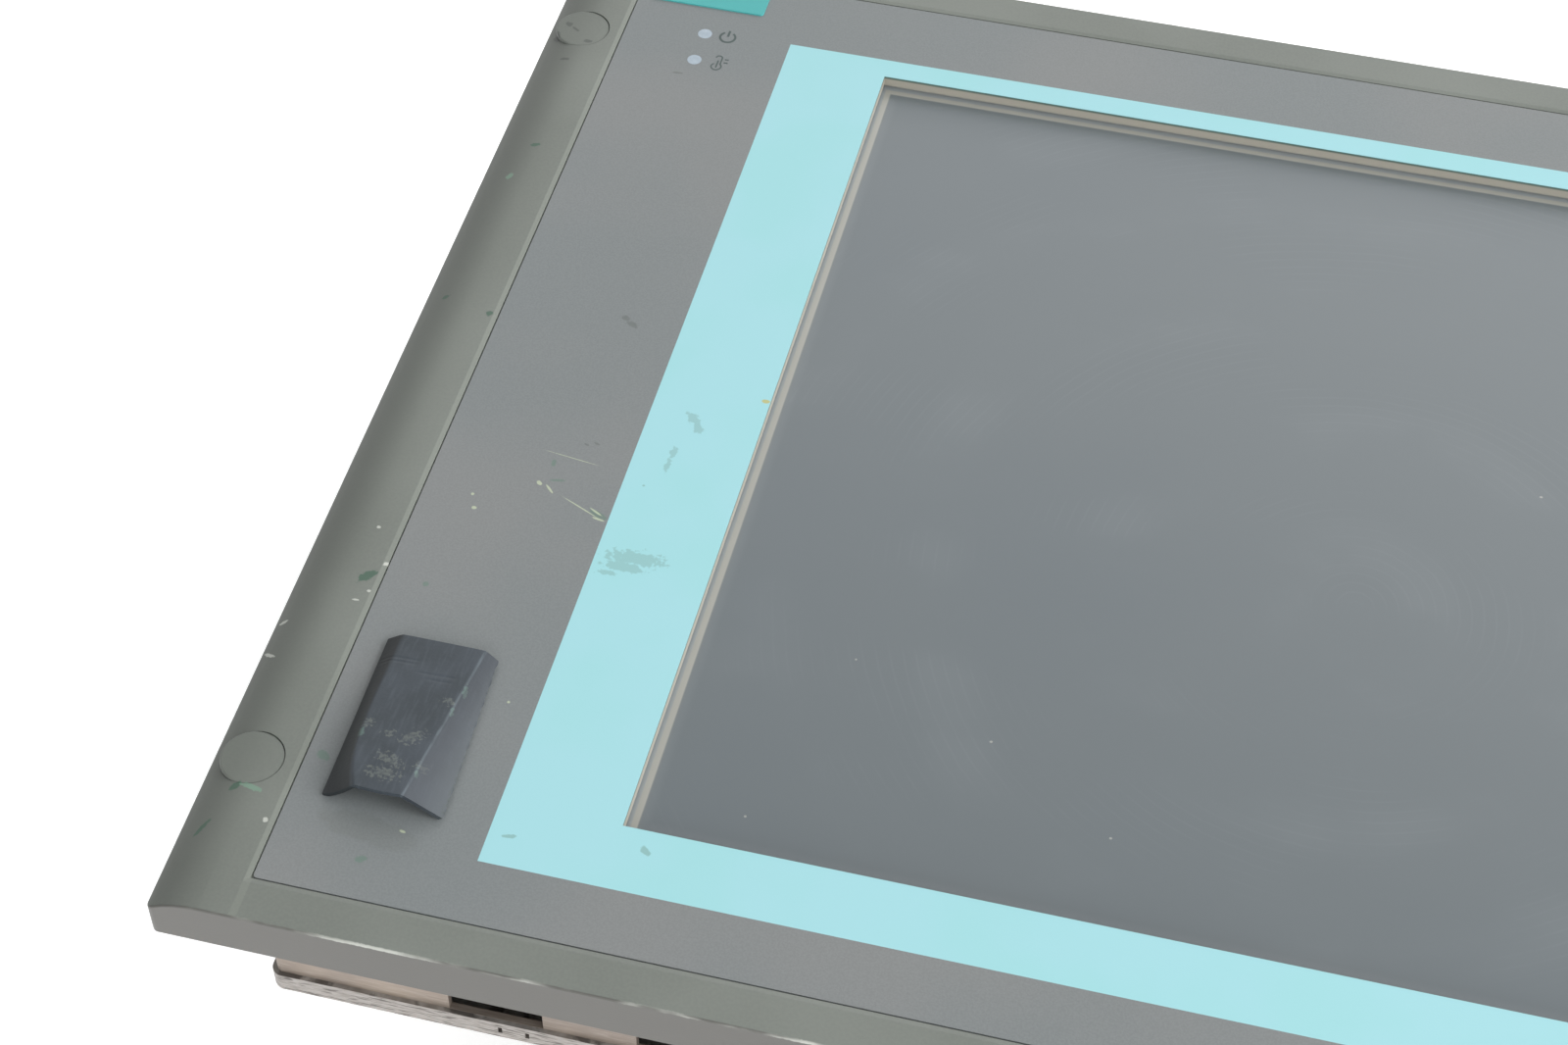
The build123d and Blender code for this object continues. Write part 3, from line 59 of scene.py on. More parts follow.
frontLow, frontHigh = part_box("front_frame")
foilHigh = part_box("front_foil")[1]
glassLow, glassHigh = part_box("touch_glass")
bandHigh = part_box("display_band")[1]
foilTop = foilHigh.z
bandWidth = 25.5 * mm  # of the turquoise band, at the window's left and right
glassLap = 7.6 * mm  # how far the glass goes on past the window's lower and upper edges
windowHalf = (bandHigh.x - bandWidth, (glassHigh.y - glassLow.y) / 2 - glassLap)
windowMiddle = (glassHigh.y + glassLow.y) / 2
print("frame loaded,", len(nodes), "nodes")


# ---- camera, floor and light

cameraSet = {
    "place": (-0.0363, -0.4539, 0.5036),  # its height is above the foil
    "turn": (40.97, 0.0, 14.15),
    "lens": 70.67,
    "sensor": 36.0,
}


def makeCamera():
    data = bpy.data.cameras.new("camera")
    data.lens = cameraSet["lens"]
    data.sensor_width = cameraSet["sensor"]
    data.clip_start = 0.01
    camera = bpy.data.objects.new("camera", data)
    x, y, rise = cameraSet["place"]
    camera.location = (x, y, foilTop + rise)
    camera.rotation_euler = [math.radians(angle) for angle in cameraSet["turn"]]
    bpy.context.scene.collection.objects.link(camera)
    bpy.context.scene.camera = camera


lightSet = {
    "right": {"place": (1.9, -0.35, 1.35), "aim": (0.0, 0.0, 0.1), "size": 1.4, "power": 38.0},
    "front": {"place": (0.1, -2.2, 1.0), "aim": (0.0, 0.0, 0.1), "size": 1.6, "power": 5.0},
}
skySet = {
    "horizon": 1.56,
    "zenith": 0.34,
    "low": 0.67,  # the rise of a ray, 0 to 1, where the sky starts to darken
    "high": 0.82,
    "sideways": 0.8,  # how much brighter it is on the right
}
floorSet = {"reach": 6.0, "glow": 0.45}
lightLevel = 1.3  # colours are given as they look under this much light


def makeLights():
    for name, one in lightSet.items():
        data = bpy.data.lights.new(name + "Light", "AREA")
        data.shape = "DISK"
        data.size = one["size"]
        data.energy = one["power"]
        lamp = bpy.data.objects.new(name + "Light", data)
        lamp.location = one["place"]
        ray = Vector(one["aim"]) - Vector(one["place"])
        lamp.rotation_euler = ray.to_track_quat("-Z", "Y").to_euler()
        bpy.context.scene.collection.objects.link(lamp)


# ---- shader maths: a wire is an output socket, and sums on wires add Math nodes

class Wire:
    def __init__(self, graph, socket):
        self.graph, self.socket = graph, socket

    def __add__(self, other):
        return self.graph.maths("ADD", self, other)

    __radd__ = __add__

    def __sub__(self, other):
        return self.graph.maths("SUBTRACT", self, other)

    def __rsub__(self, other):
        return self.graph.maths("SUBTRACT", other, self)

    def __mul__(self, other):
        return self.graph.maths("MULTIPLY", self, other)

    __rmul__ = __mul__

    def __pow__(self, other):
        return self.graph.maths("POWER", self, other)


class Graph:
    def __init__(self, tree):
        self.tree = tree
        tree.nodes.clear()

    # one node: its kind, its settings, which are set first, then what its sockets get
    def node(self, kind, settings=None, inputs=None, output=0):
        made = self.tree.nodes.new("ShaderNode" + kind)
        for name, value in (settings or {}).items():
            if name == "stops":
                ramp = made.color_ramp
                while len(ramp.elements) < len(value):
                    ramp.elements.new(0.5)
                for element, (place, colour) in zip(ramp.elements, value):
                    element.position, element.color = place, colour
            else:
                setattr(made, name, value)
        for name, value in (inputs or {}).items():
            if isinstance(value, Wire):
                self.tree.links.new(value.socket, made.inputs[name])
            else:
                made.inputs[name].default_value = value
        return Wire(self, made.outputs[output]) if len(made.outputs) else None

    def maths(self, operation, first, second=0.0):
        return self.node("Math", {"operation": operation}, {0: first, 1: second})

    def vector(self, operation, first, second=(0, 0, 0), output=0):
        return self.node("VectorMath", {"operation": operation}, {0: first, 1: second}, output)

    def mix(self, factor, first, second, how="MIX"):
        settings = {"data_type": "RGBA", "blend_type": how}
        return self.node("Mix", settings, {0: factor, 6: first, 7: second}, 2)

    # a straight or soft step of a value from one level to another, clamped to 0..1
    def step(self, value, low, high, soft=True):
        settings = {"interpolation_type": "SMOOTHSTEP" if soft else "LINEAR"}
        return self.node("MapRange", settings, {0: value, 1: low, 2: high, 3: 0.0, 4: 1.0})

    def objectPlace(self):
        return self.node("TexCoord", output="Object")

    def surfacePlace(self):
        return self.node("TexCoord", output="UV")

    def apart(self, place):
        split = self.node("SeparateXYZ", inputs={0: place})
        outputs = split.socket.node.outputs
        return [Wire(self, outputs[index]) for index in range(3)]

    # noise with grains of about this size in metres; the stretch makes them longer along an axis
    def noise(self, place, size, detail=2.0, stretch=None):
        if stretch:
            place = self.vector("DIVIDE", place, stretch)
        inputs = {"Vector": place, "Scale": 1 / size, "Detail": detail}
        return self.node("TexNoise", inputs=inputs)

    def bump(self, height, depth, strength=1.0):
        return self.node("Bump", inputs={"Height": height, "Distance": depth, "Strength": strength})

    def surface(self, sockets):
        shader = self.node("BsdfPrincipled", inputs=sockets)
        self.node("OutputMaterial", inputs={"Surface": shader})


def newMaterial(name):
    material = bpy.data.materials.new(name)
    material.use_nodes = True
    return material, Graph(material.node_tree)


# a colour as a screen shows it, 0 to 255, as the linear value that a shader takes
def tone(red, green, blue):
    parts = []
    for part in (red, green, blue):
        part = part / 255
        parts.append(part / 12.92 if part <= 0.04045 else ((part + 0.055) / 1.055) ** 2.4)
    return (*(part / lightLevel for part in parts), 1.0)


def makeSky():
    world = bpy.data.worlds.new("sky")
    world.use_nodes = True
    bpy.context.scene.world = world
    graph = Graph(world.node_tree)
    ray = graph.node("TexCoord", output="Generated")
    aside, rise = graph.apart(ray)[::2]
    climb = graph.step(rise, skySet["low"], skySet["high"])
    strength = skySet["horizon"] - climb * (skySet["horizon"] - skySet["zenith"])
    strength = strength * (1 + skySet["sideways"] * aside)
    background = graph.node("Background", inputs={"Color": (1, 1, 1, 1), "Strength": strength})
    graph.node("OutputWorld", inputs={"Surface": background})


def makeFloor():
    reach = floorSet["reach"]
    mesh = bpy.data.meshes.new("floor")
    corners = [(i * reach, j * reach, 0) for i, j in ((-1, -1), (1, -1), (1, 1), (-1, 1))]
    mesh.from_pydata(corners, [], [(0, 1, 2, 3)])
    floor = bpy.data.objects.new("floor", mesh)
    bpy.context.scene.collection.objects.link(floor)
    material, graph = newMaterial("floorPaper")
    graph.surface({
        "Base Color": (0.93, 0.93, 0.93, 1),
        "Roughness": 0.9,
        "Emission Color": (1, 1, 1, 1),
        "Emission Strength": floorSet["glow"],
    })
    mesh.materials.append(material)


makeCamera()
makeLights()
makeSky()
makeFloor()
bpy.context.scene.view_settings.view_transform = "Standard"
print("camera, light and floor are set")


# ---- marks of use

# A smeared spot: an ellipse turned about Z, its edge broken up by a ragged noise. 1 inside, 0 outside.
def spot(graph, place, ragged, mark):
    x, y, long, wide, turn = mark
    local = graph.vector("SUBTRACT", place, (x * mm, y * mm, 0))
    inputs = {"Vector": local, "Angle": -math.radians(turn)}
    turned = graph.node("VectorRotate", {"rotation_type": "Z_AXIS"}, inputs)
    scaled = graph.vector("MULTIPLY", turned, (1 / (long * mm), 1 / (wide * mm), 0))
    away = graph.vector("LENGTH", scaled, output="Value")
    return graph.step(away + ragged, 1.1, 0.75)


# the strongest of several spots
def spots(graph, place, ragged, marks):
    whole = None
    for mark in marks:
        one = spot(graph, place, ragged, mark)
        whole = one if whole is None else graph.maths("MAXIMUM", whole, one)
    return whole


# 1 inside the display's window, grown by a margin on every side, and 0 outside it
def insideWindow(graph, place, outer, inner):
    x, y = graph.apart(place)[:2]
    aside, ahead = graph.maths("ABSOLUTE", x), graph.maths("ABSOLUTE", y - windowMiddle)
    within = graph.step(aside, windowHalf[0] + outer, windowHalf[0] + inner)
    return within * graph.step(ahead, windowHalf[1] + outer, windowHalf[1] + inner)


# ---- finishes of the front

# Marks are (x, y, half length, half width, turn), in millimetres and degrees, on the front's face.
paintSet = {
    "colour": tone(128, 133, 127),
    "darker": tone(119, 124, 118),
    "rim": tone(142, 147, 138),
    # painted shade of the lower side face
    "side": tone(90, 89, 85),
    # painted shade of the rim's curved left and right sides
    "edgeShade": tone(96, 101, 95),
    "wall": tone(170, 166, 154),
    # painted shadow line under the foil's edge, at the top of the recess wall
    "shadowUnderFoil": tone(96, 112, 102),
    "bare": tone(205, 208, 200),
    "green": tone(60, 96, 78),
    "paleGreen": tone(124, 158, 138),
    "dark": tone(62, 66, 64),
    "strip": (-0.3, 0.0, 1.3, 1.6),  # the lighter strip beside the foil, partly worn paint and partly a painted highlight: where it starts and ends
    "edgeShading": (1.5, 15.0),  # painted shade: the paint gets darker from here to here, outwards from the foil
    "faceDepth": 7.0,  # of the curved face on which marks lie
    # a light line along the lower edge, partly worn paint and partly a painted highlight
    "wornEdgeAndHighlight": (0.2, 0.42),
    "greenMarks": (
        (-225.7, -66.3, 2.6, 1.1, 48), (-233.4, -124.9, 1.6, 0.7, 60), (-236.3, 18.8, 1.1, 0.6, 30),
        (-224.5, 15.2, 0.9, 0.9, 0), (-236.6, -136.1, 2.8, 0.5, 65), (-231.3, 72.9, 1.1, 0.7, 20),
    ),
    "paleGreenMarks": ((-230.2, -124.6, 2.6, 0.7, -12), (-234.2, 61.0, 1.2, 0.7, 70)),
    "bareMarks": (
        (-239.5, -81.1, 0.9, 0.45, 40), (-239.2, -90.3, 1.5, 0.45, -20), (-222.9, -62.2, 0.8, 0.5, 50),
        (-226.0, -73.2, 0.9, 0.25, 5), (-224.0, -70.2, 0.5, 0.35, 0), (-224.5, -131.6, 0.6, 0.6, 0),
        (-227.8, -52.7, 0.5, 0.4, 0),
    ),
    # dark marks round the top-left plug; the one at the plug's lower left is a painted shadow of the plug's
    # edge
    "darkMarks": (
        (-236.4, 118.3, 1.2, 0.9, -20), (-234.2, 116.8, 1.1, 0.4, -30), (-238.3, 113.8, 1.4, 0.9, -50),
        (-229.9, 113.1, 1.1, 0.6, 0), (-233.7, 105.4, 1.3, 0.5, 0),
    ),
}


def framePaint():
    material, graph = newMaterial("framePaint")
    place = graph.objectPlace()
    x, y, z = graph.apart(place)
    cloud = graph.noise(place, 45 * mm, 3)
    grain = graph.noise(place, 0.7 * mm, 2)
    colour = graph.mix(graph.step(cloud, 0.3, 0.7), paintSet["darker"], paintSet["colour"])
    colour = graph.mix(0.16 * graph.step(grain, 0.35, 0.65), colour, paintSet["rim"])
    roughness = 0.34 + 0.1 * cloud
    # a lighter strip where the paint meets the foil's groove, partly worn paint and partly a painted
    # highlight of the groove's edge
    sideways = graph.maths("ABSOLUTE", x) - foilHigh.x
    begins, begun, ends, ended = (edge * mm for edge in paintSet["strip"])
    strip = graph.step(sideways, ended, ends) * graph.step(sideways, begins, begun)
    strip = strip * graph.step(z, frontHigh.z - 1 * mm, frontHigh.z - 0.6 * mm)
    colour = graph.mix(0.35 * strip, colour, paintSet["rim"])
    # painted shade: the paint is darker towards the left and right edges
    shadeFrom, shadeTo = paintSet["edgeShading"]
    edgeShade = graph.step(sideways, shadeFrom * mm, shadeTo * mm)
    colour = graph.mix(0.65 * edgeShade, colour, paintSet["edgeShade"])
    # painted shade: the lower side face is darker; and the wall of the display's recess, with a painted
    # shadow line under the foil's edge at its top
    side = graph.step(y, frontLow.y + 0.5 * mm, frontLow.y + 0.2 * mm)
    colour = graph.mix(side, colour, paintSet["side"])
    upper = graph.step(z, foilTop - 1.0 * mm, foilTop - 0.5 * mm)
    wall = graph.mix(upper, paintSet["wall"], paintSet["shadowUnderFoil"])
    colour = graph.mix(insideWindow(graph, place, 1.2 * mm, 0.6 * mm), colour, wall)

    faceEnd = frontHigh.z - paintSet["faceDepth"] * mm
    onFace = graph.step(z, faceEnd, faceEnd + 1.5 * mm)
    ragged = graph.noise(place, 0.9 * mm, 3) * 1.5 - 0.75
    green = spots(graph, place, ragged, paintSet["greenMarks"]) * onFace
    paleGreen = spots(graph, place, ragged, paintSet["paleGreenMarks"]) * onFace
    # dark marks, with a painted shadow at the top-left plug's lower left
    dark = spots(graph, place, ragged, paintSet["darkMarks"]) * onFace
    colour = graph.mix(0.75 * green, colour, paintSet["green"])
    colour = graph.mix(0.7 * paleGreen, colour, paintSet["paleGreen"])
    colour = graph.mix(0.55 * dark, colour, paintSet["dark"])

    # bare metal: chips on the face, and a light line along the lower edge, partly worn paint and partly a
    # painted highlight of the rounded edge
    chips = spots(graph, place, ragged, paintSet["bareMarks"])
    down = graph.vector("SUBTRACT", place, (0, frontLow.y + 0.25 * mm, frontHigh.z - 0.25 * mm))
    away = graph.vector("LENGTH", graph.vector("MULTIPLY", down, (0, 1, 1)), output="Value")
    patchy = graph.noise(place, 5 * mm, 3, stretch=(4, 1, 1))
    full, none = paintSet["wornEdgeAndHighlight"]
    wornEdgeAndHighlight = graph.step(away + ragged * (0.2 * mm), none * mm, full * mm) * graph.step(patchy, 0.4, 0.6)
    bare = graph.maths("MAXIMUM", chips * onFace, wornEdgeAndHighlight)
    colour = graph.mix(0.8 * bare, colour, paintSet["bare"])
    roughness = roughness - 0.1 * bare
    height = graph.noise(place, 0.5 * mm, 2) + 0.6 * graph.noise(place, 2.2 * mm, 1)
    graph.surface({"Base Color": colour, "Roughness": roughness, "Normal": graph.bump(height, 0.012 * mm)})
    return material


foilSet = {
    "warm": tone(131, 134, 134),
    "cool": tone(124, 130, 131),
    "weave": tone(166, 170, 170),
    "flapShadowTone": tone(88, 90, 76),
    "dark": tone(82, 90, 84),
    "green": tone(96, 128, 112),
    "pale": tone(196, 206, 176),
    # the foil's cut edge, darkened in part as a painted shadow line
    "shadedCutEdge": tone(88, 112, 104),
    "darkMarks": (
        (-193.6, 21.6, 1.0, 0.9, 0), (-191.6, 20.0, 1.6, 0.8, -20), (-188.9, -17.6, 1.0, 0.35, -20),
        (-191.2, -18.4, 0.7, 0.3, -20), (-205.0, 107.0, 1.4, 0.4, 0),
    ),
    "greenMarks": (
        (-218.7, -113.5, 1.8, 1.0, -25), (-212.9, -65.2, 0.7, 0.7, 0), (-207.9, -81.9, 0.5, 0.4, 0),
        (-194.6, -30.2, 1.8, 0.4, 12), (-182.9, -37.6, 2.6, 0.8, -22), (-196.6, -25.4, 0.5, 1.3, 0),
        (-203.0, -135.8, 1.3, 0.8, 20),
    ),
    "paleMarks": (
        (-198.0, -31.8, 0.8, 0.5, -40), (-195.3, -33.0, 1.7, 0.28, -45), (-187.4, -36.4, 5.2, 0.16, -24),
        (-183.6, -36.9, 1.8, 0.24, -28), (-182.5, -38.8, 1.5, 0.3, -10), (-193.0, -23.0, 7.0, 0.09, -7),
        (-186.3, -91.3, 0.35, 0.35, 0), (-211.2, -38.4, 0.4, 0.4, 0), (-209.6, -42.2, 0.6, 0.5, 0),
        (-197.0, -127.5, 0.7, 0.3, -10),
    ),
    # painted shadow under the socket flap's free end
    "flapShadow": ((-203.8, -128.8, 11.5, 3.4, -8),),
}


def foilGrey():
    material, graph = newMaterial("foilGrey")
    place = graph.objectPlace()
    cloud = graph.noise(place, 70 * mm, 2)
    weave = graph.noise(place, 0.45 * mm, 2)
    colour = graph.mix(graph.step(cloud, 0.35, 0.65), foilSet["cool"], foilSet["warm"])
    colour = graph.mix(0.14 * graph.step(weave, 0.3, 0.7), colour, foilSet["weave"])
    ragged = graph.noise(place, 0.8 * mm, 3) * 1.5 - 0.75
    # a soft painted shadow under the socket flap's free end
    soft = graph.noise(place, 3 * mm, 2) * 0.8 - 0.4
    flapShadow = spots(graph, place, soft, foilSet["flapShadow"])
    dark = spots(graph, place, ragged, foilSet["darkMarks"])
    green = spots(graph, place, ragged, foilSet["greenMarks"])
    pale = spots(graph, place, ragged * 0.4, foilSet["paleMarks"])
    colour = graph.mix(0.3 * flapShadow * cloud, colour, foilSet["flapShadowTone"])
    colour = graph.mix(0.42 * dark, colour, foilSet["dark"])
    colour = graph.mix(0.55 * green, colour, foilSet["green"])
    colour = graph.mix(0.75 * pale, colour, foilSet["pale"])
    # the cut edge round the display's window, its own dark colour deepened as a painted shadow line
    cut = insideWindow(graph, place, 0.15 * mm, 0.05 * mm)
    colour = graph.mix(cut, colour, foilSet["shadedCutEdge"])
    height = graph.noise(place, 0.35 * mm, 3)
    roughness = 0.36 + 0.1 * cloud
    graph.surface({"Base Color": colour, "Roughness": roughness, "Normal": graph.bump(height, 0.02 * mm)})
    return material


bandSet = {
    "colour": tone(166, 219, 226),
    "faded": tone(159, 218, 220),
    "smudged": tone(112, 142, 128),
    "dotted": tone(110, 140, 120),
    "chipped": tone(196, 184, 96),
    "smudges": (
        (-171.6, -47.6, 6.6, 2.2, 3), (-173.5, -50.4, 4.8, 1.4, 0), (-176.5, -52.8, 2.4, 0.7, 8),
        (-170.0, -5.4, 2.6, 1.1, -45), (-168.4, -7.8, 1.4, 1.2, 30), (-171.9, -16.0, 0.8, 1.7, 0),
        (-172.2, -20.0, 0.7, 2.0, 0),
    ),
    "dots": ((-148.8, -120.2, 1.4, 0.8, -40), (-175.9, -123.4, 1.5, 0.5, 10), (-175.6, -27.0, 0.3, 0.3, 0)),
    "chip": ((-155.9, 4.0, 1.0, 0.6, 0),),
}


def bandPrint():
    material, graph = newMaterial("bandPrint")
    place = graph.objectPlace()
    cloud = graph.noise(place, 30 * mm, 2)
    ragged = graph.noise(place, 1.1 * mm, 4) * 2.4 - 1.2
    colour = graph.mix(0.5 * graph.step(cloud, 0.4, 0.7), bandSet["colour"], bandSet["faded"])
    smudges = spots(graph, place, ragged, bandSet["smudges"])
    dots = spots(graph, place, ragged * 0.5, bandSet["dots"])
    chip = spots(graph, place, ragged * 0.3, bandSet["chip"])
    colour = graph.mix(0.34 * smudges, colour, bandSet["smudged"])
    colour = graph.mix(0.45 * dots, colour, bandSet["dotted"])
    colour = graph.mix(0.8 * chip, colour, bandSet["chipped"])
    height = graph.noise(place, 0.35 * mm, 3)
    roughness = 0.44 + 0.1 * cloud
    graph.surface({"Base Color": colour, "Roughness": roughness, "Normal": graph.bump(height, 0.012 * mm)})
    return material


def platePrint():
    material, graph = newMaterial("platePrint")
    place = graph.objectPlace()
    cloud = graph.noise(place, 8 * mm, 2)
    colour = graph.mix(cloud, tone(70, 172, 172), tone(80, 182, 180))
    graph.surface({"Base Color": colour, "Roughness": 0.38 + 0.1 * cloud})
    return material


glassSet = {
    "colour": tone(109, 120, 125),
    "cloudy": tone(101, 114, 122),
    # painted reflection of the recess wall round the glass's rim
    "edge": tone(170, 178, 181),
    "strip": tone(190, 190, 181),  # a painted reflection of the recess wall, as a light strip round the glass's rim
    "scratch": tone(200, 205, 208),
    "smear": tone(170, 178, 182),
    "dust": tone(205, 205, 195),
    "gloss": 2.35,
    "ownShare": 0.72,  # the rest shows what lies below
    "swirlMiddle": (-20.0, -20.0),
    "dots": (
        (-88.1, -74.2, 0.35, 0.3, 0), (15.6, 21.1, 0.4, 0.3, 0), (-132.4, -104.7, 0.3, 0.3, 0),
        (-60.0, -92.0, 0.3, 0.3, 0), (-120.0, -60.0, 0.25, 0.25, 0),
    ),
}


def touchGlass():
    material, graph = newMaterial("touchGlass")
    place = graph.objectPlace()
    middleX, middleY = glassSet["swirlMiddle"]
    cloud = graph.noise(place, 90 * mm, 2)
    haze = graph.noise(place, 24 * mm, 4, stretch=(1.6, 1, 1))
    # fine round wiping scratches about the glass's middle
    local = graph.vector("SUBTRACT", place, (middleX * mm, middleY * mm, 0))
    settings = {"wave_type": "RINGS", "rings_direction": "Z"}
    inputs = {"Vector": local, "Scale": 120.0, "Distortion": 4.0, "Detail": 2.0, "Detail Scale": 0.2}
    rings = graph.node("TexWave", settings, inputs, output="Fac")
    swirl = graph.step(rings, 0.86, 0.99) * graph.step(haze, 0.48, 0.66)
    inputs = {"Vector": local, "Scale": 9.0, "Distortion": 9.0, "Detail": 2.0, "Detail Scale": 0.5}
    arcs = graph.node("TexWave", settings, inputs, output="Fac")
    arcs = graph.step(arcs, 0.4, 1.0) * graph.step(haze, 0.4, 0.7)
    ragged = graph.noise(place, 0.5 * mm, 2) * 0.6 - 0.3
    dots = spots(graph, place, ragged, glassSet["dots"])
    colour = graph.mix(0.35 * graph.step(cloud, 0.4, 0.7), glassSet["colour"], glassSet["cloudy"])
    colour = graph.mix(0.035 * swirl, colour, glassSet["scratch"])
    colour = graph.mix(0.06 * arcs, colour, glassSet["smear"])
    colour = graph.mix(0.9 * dots, colour, glassSet["dust"])
    # how far inside the window's edge a point lies
    x, y = graph.apart(place)[:2]
    inX = windowHalf[0] - graph.maths("ABSOLUTE", x)
    inY = windowHalf[1] - graph.maths("ABSOLUTE", y - windowMiddle)
    inward = graph.maths("MINIMUM", inX, inY)
    # painted reflection of the recess wall: a light strip round the rim, an edge tone, and a faint lighter
    # band further in
    strip = graph.step(inward, 0.5 * mm, 0.9 * mm)
    rim = graph.mix(strip, glassSet["edge"], glassSet["strip"])
    colour = graph.mix(0.12 * graph.step(inward, 5.0 * mm, 3.0 * mm), colour, glassSet["edge"])
    colour = graph.mix(graph.step(inward, 2.3 * mm, 1.9 * mm), colour, rim)
    graph.surface({
        "Base Color": colour,
        "Roughness": 0.29 + 0.06 * haze,
        "IOR": glassSet["gloss"],
        "Alpha": glassSet["ownShare"],
    })
    return material


# ---- finishes of everything else

# A plain coloured material with clouds, fine grain and a fine relief, for plastics, rubbers and print.
def moulded(name, colour, lighter, roughness, grain=0.4 * mm, relief=0.02 * mm, coat=0.0):
    material, graph = newMaterial(name)
    place = graph.objectPlace()
    cloud = graph.noise(place, 12 * mm, 3)
    fine = graph.noise(place, grain, 2)
    mixed = graph.mix(0.55 * graph.step(cloud, 0.3, 0.75) + 0.3 * fine, colour, lighter)
    sockets = {
        "Base Color": mixed,
        "Roughness": roughness - 0.06 + 0.12 * cloud,
        "Normal": graph.bump(fine, relief),
    }
    if coat:
        sockets["Coat Weight"] = coat
    graph.surface(sockets)
    return material


# Sheet metal: crystals of the zinc as flat patches of slightly different grey, rolled streaks and scratches.
def sheetMetal(name, colour, darker, roughness=0.36, metallic=0.85, patch=7 * mm, streak=(14, 1, 1)):
    material, graph = newMaterial(name)
    place = graph.objectPlace()
    wander = graph.noise(place, 6 * mm, 2)
    wander = graph.node("CombineXYZ", inputs={0: wander, 1: wander})
    bent = graph.vector("ADD", place, graph.vector("MULTIPLY", wander, (patch, patch, 0)))
    cells = graph.node("TexVoronoi", {}, {"Vector": bent, "Scale": 1 / patch}, output="Color")
    shade = graph.apart(cells)[0]
    lines = graph.noise(place, 0.5 * mm, 3, stretch=streak)
    mixed = graph.mix(0.45 * shade + 0.55 * graph.step(lines, 0.35, 0.7), darker, colour)
    scratch = graph.step(graph.noise(place, 0.35 * mm, 2, stretch=(60, 1, 1)), 0.7, 0.76)
    graph.surface({
        "Base Color": mixed,
        "Metallic": metallic,
        "Roughness": roughness + 0.14 * shade - 0.1 * scratch,
        "Normal": graph.bump(lines + 0.4 * scratch, 0.006 * mm),
    })
    return material


# The housing's side, seen below the front: zinc with a blotchy, dull surface, whose dark, warm colour is
# painted shade and a painted reflection of the frame's underside.
def housingZinc():
    material, graph = newMaterial("housingZinc")
    place = graph.objectPlace()
    blotch = graph.noise(place, 16 * mm, 3, stretch=(1.5, 1, 1))
    lines = graph.noise(place, 0.4 * mm, 3, stretch=(12, 1, 1))
    colour = graph.mix(graph.step(blotch, 0.35, 0.7), tone(138, 126, 116), tone(164, 150, 136))
    colour = graph.mix(0.25 * graph.step(lines, 0.4, 0.7), colour, tone(196, 188, 180))
    graph.surface({"Base Color": colour, "Metallic": 0.35, "Roughness": 0.42 + 0.1 * blotch})
    return material


# The rear tray's lip: brighter zinc with dark, broken, level streaks.
def lipZinc():
    material, graph = newMaterial("lipZinc")
    place = graph.objectPlace()
    streaks = graph.noise(place, 0.55 * mm, 4, stretch=(9, 9, 1))
    fine = graph.noise(place, 0.25 * mm, 2, stretch=(14, 14, 1))
    dark = graph.step(streaks, 0.52, 0.62)
    colour = graph.mix(graph.step(fine, 0.3, 0.7), tone(140, 134, 128), tone(176, 171, 166))
    colour = graph.mix(0.8 * dark, colour, tone(84, 78, 74))
    relief = graph.bump(streaks, 0.02 * mm)
    graph.surface({"Base Color": colour, "Metallic": 0.3, "Roughness": 0.4 + 0.15 * dark, "Normal": relief})
    return material


# A circuit board: green lacquer over lighter tracks, with solder points.
def circuitBoard():
    material, graph = newMaterial("circuitBoard")
    place = graph.objectPlace()
    maze = graph.noise(place, 9 * mm, 1)
    settings = {"wave_type": "BANDS", "bands_direction": "DIAGONAL"}
    inputs = {"Vector": place, "Scale": 260.0, "Distortion": 0.0}
    tracks = graph.node("TexWave", settings, inputs, output="Fac")
    lines = graph.step(tracks, 0.55, 0.75) * graph.step(maze, 0.45, 0.55)
    inputs = {"Vector": place, "Scale": 1 / (3.5 * mm)}
    cells = graph.node("TexVoronoi", {"feature": "F1"}, inputs, output="Distance")
    solder = graph.step(cells, 0.13, 0.1)
    colour = graph.mix(lines, tone(28, 92, 52), tone(52, 132, 78))
    colour = graph.mix(0.85 * solder, colour, tone(190, 188, 176))
    relief = graph.bump(lines + solder, 0.03 * mm)
    graph.surface({"Base Color": colour, "Metallic": 0.7 * solder, "Roughness": 0.34, "Normal": relief})
    return material


def lightGuide():
    material, graph = newMaterial("lightGuide")
    place = graph.objectPlace()
    cloud = graph.noise(place, 1.2 * mm, 2)
    colour = graph.mix(cloud, tone(148, 164, 176), tone(178, 192, 204))
    graph.surface({"Base Color": colour, "Roughness": 0.2 + 0.1 * cloud, "Coat Weight": 0.5})
    return material


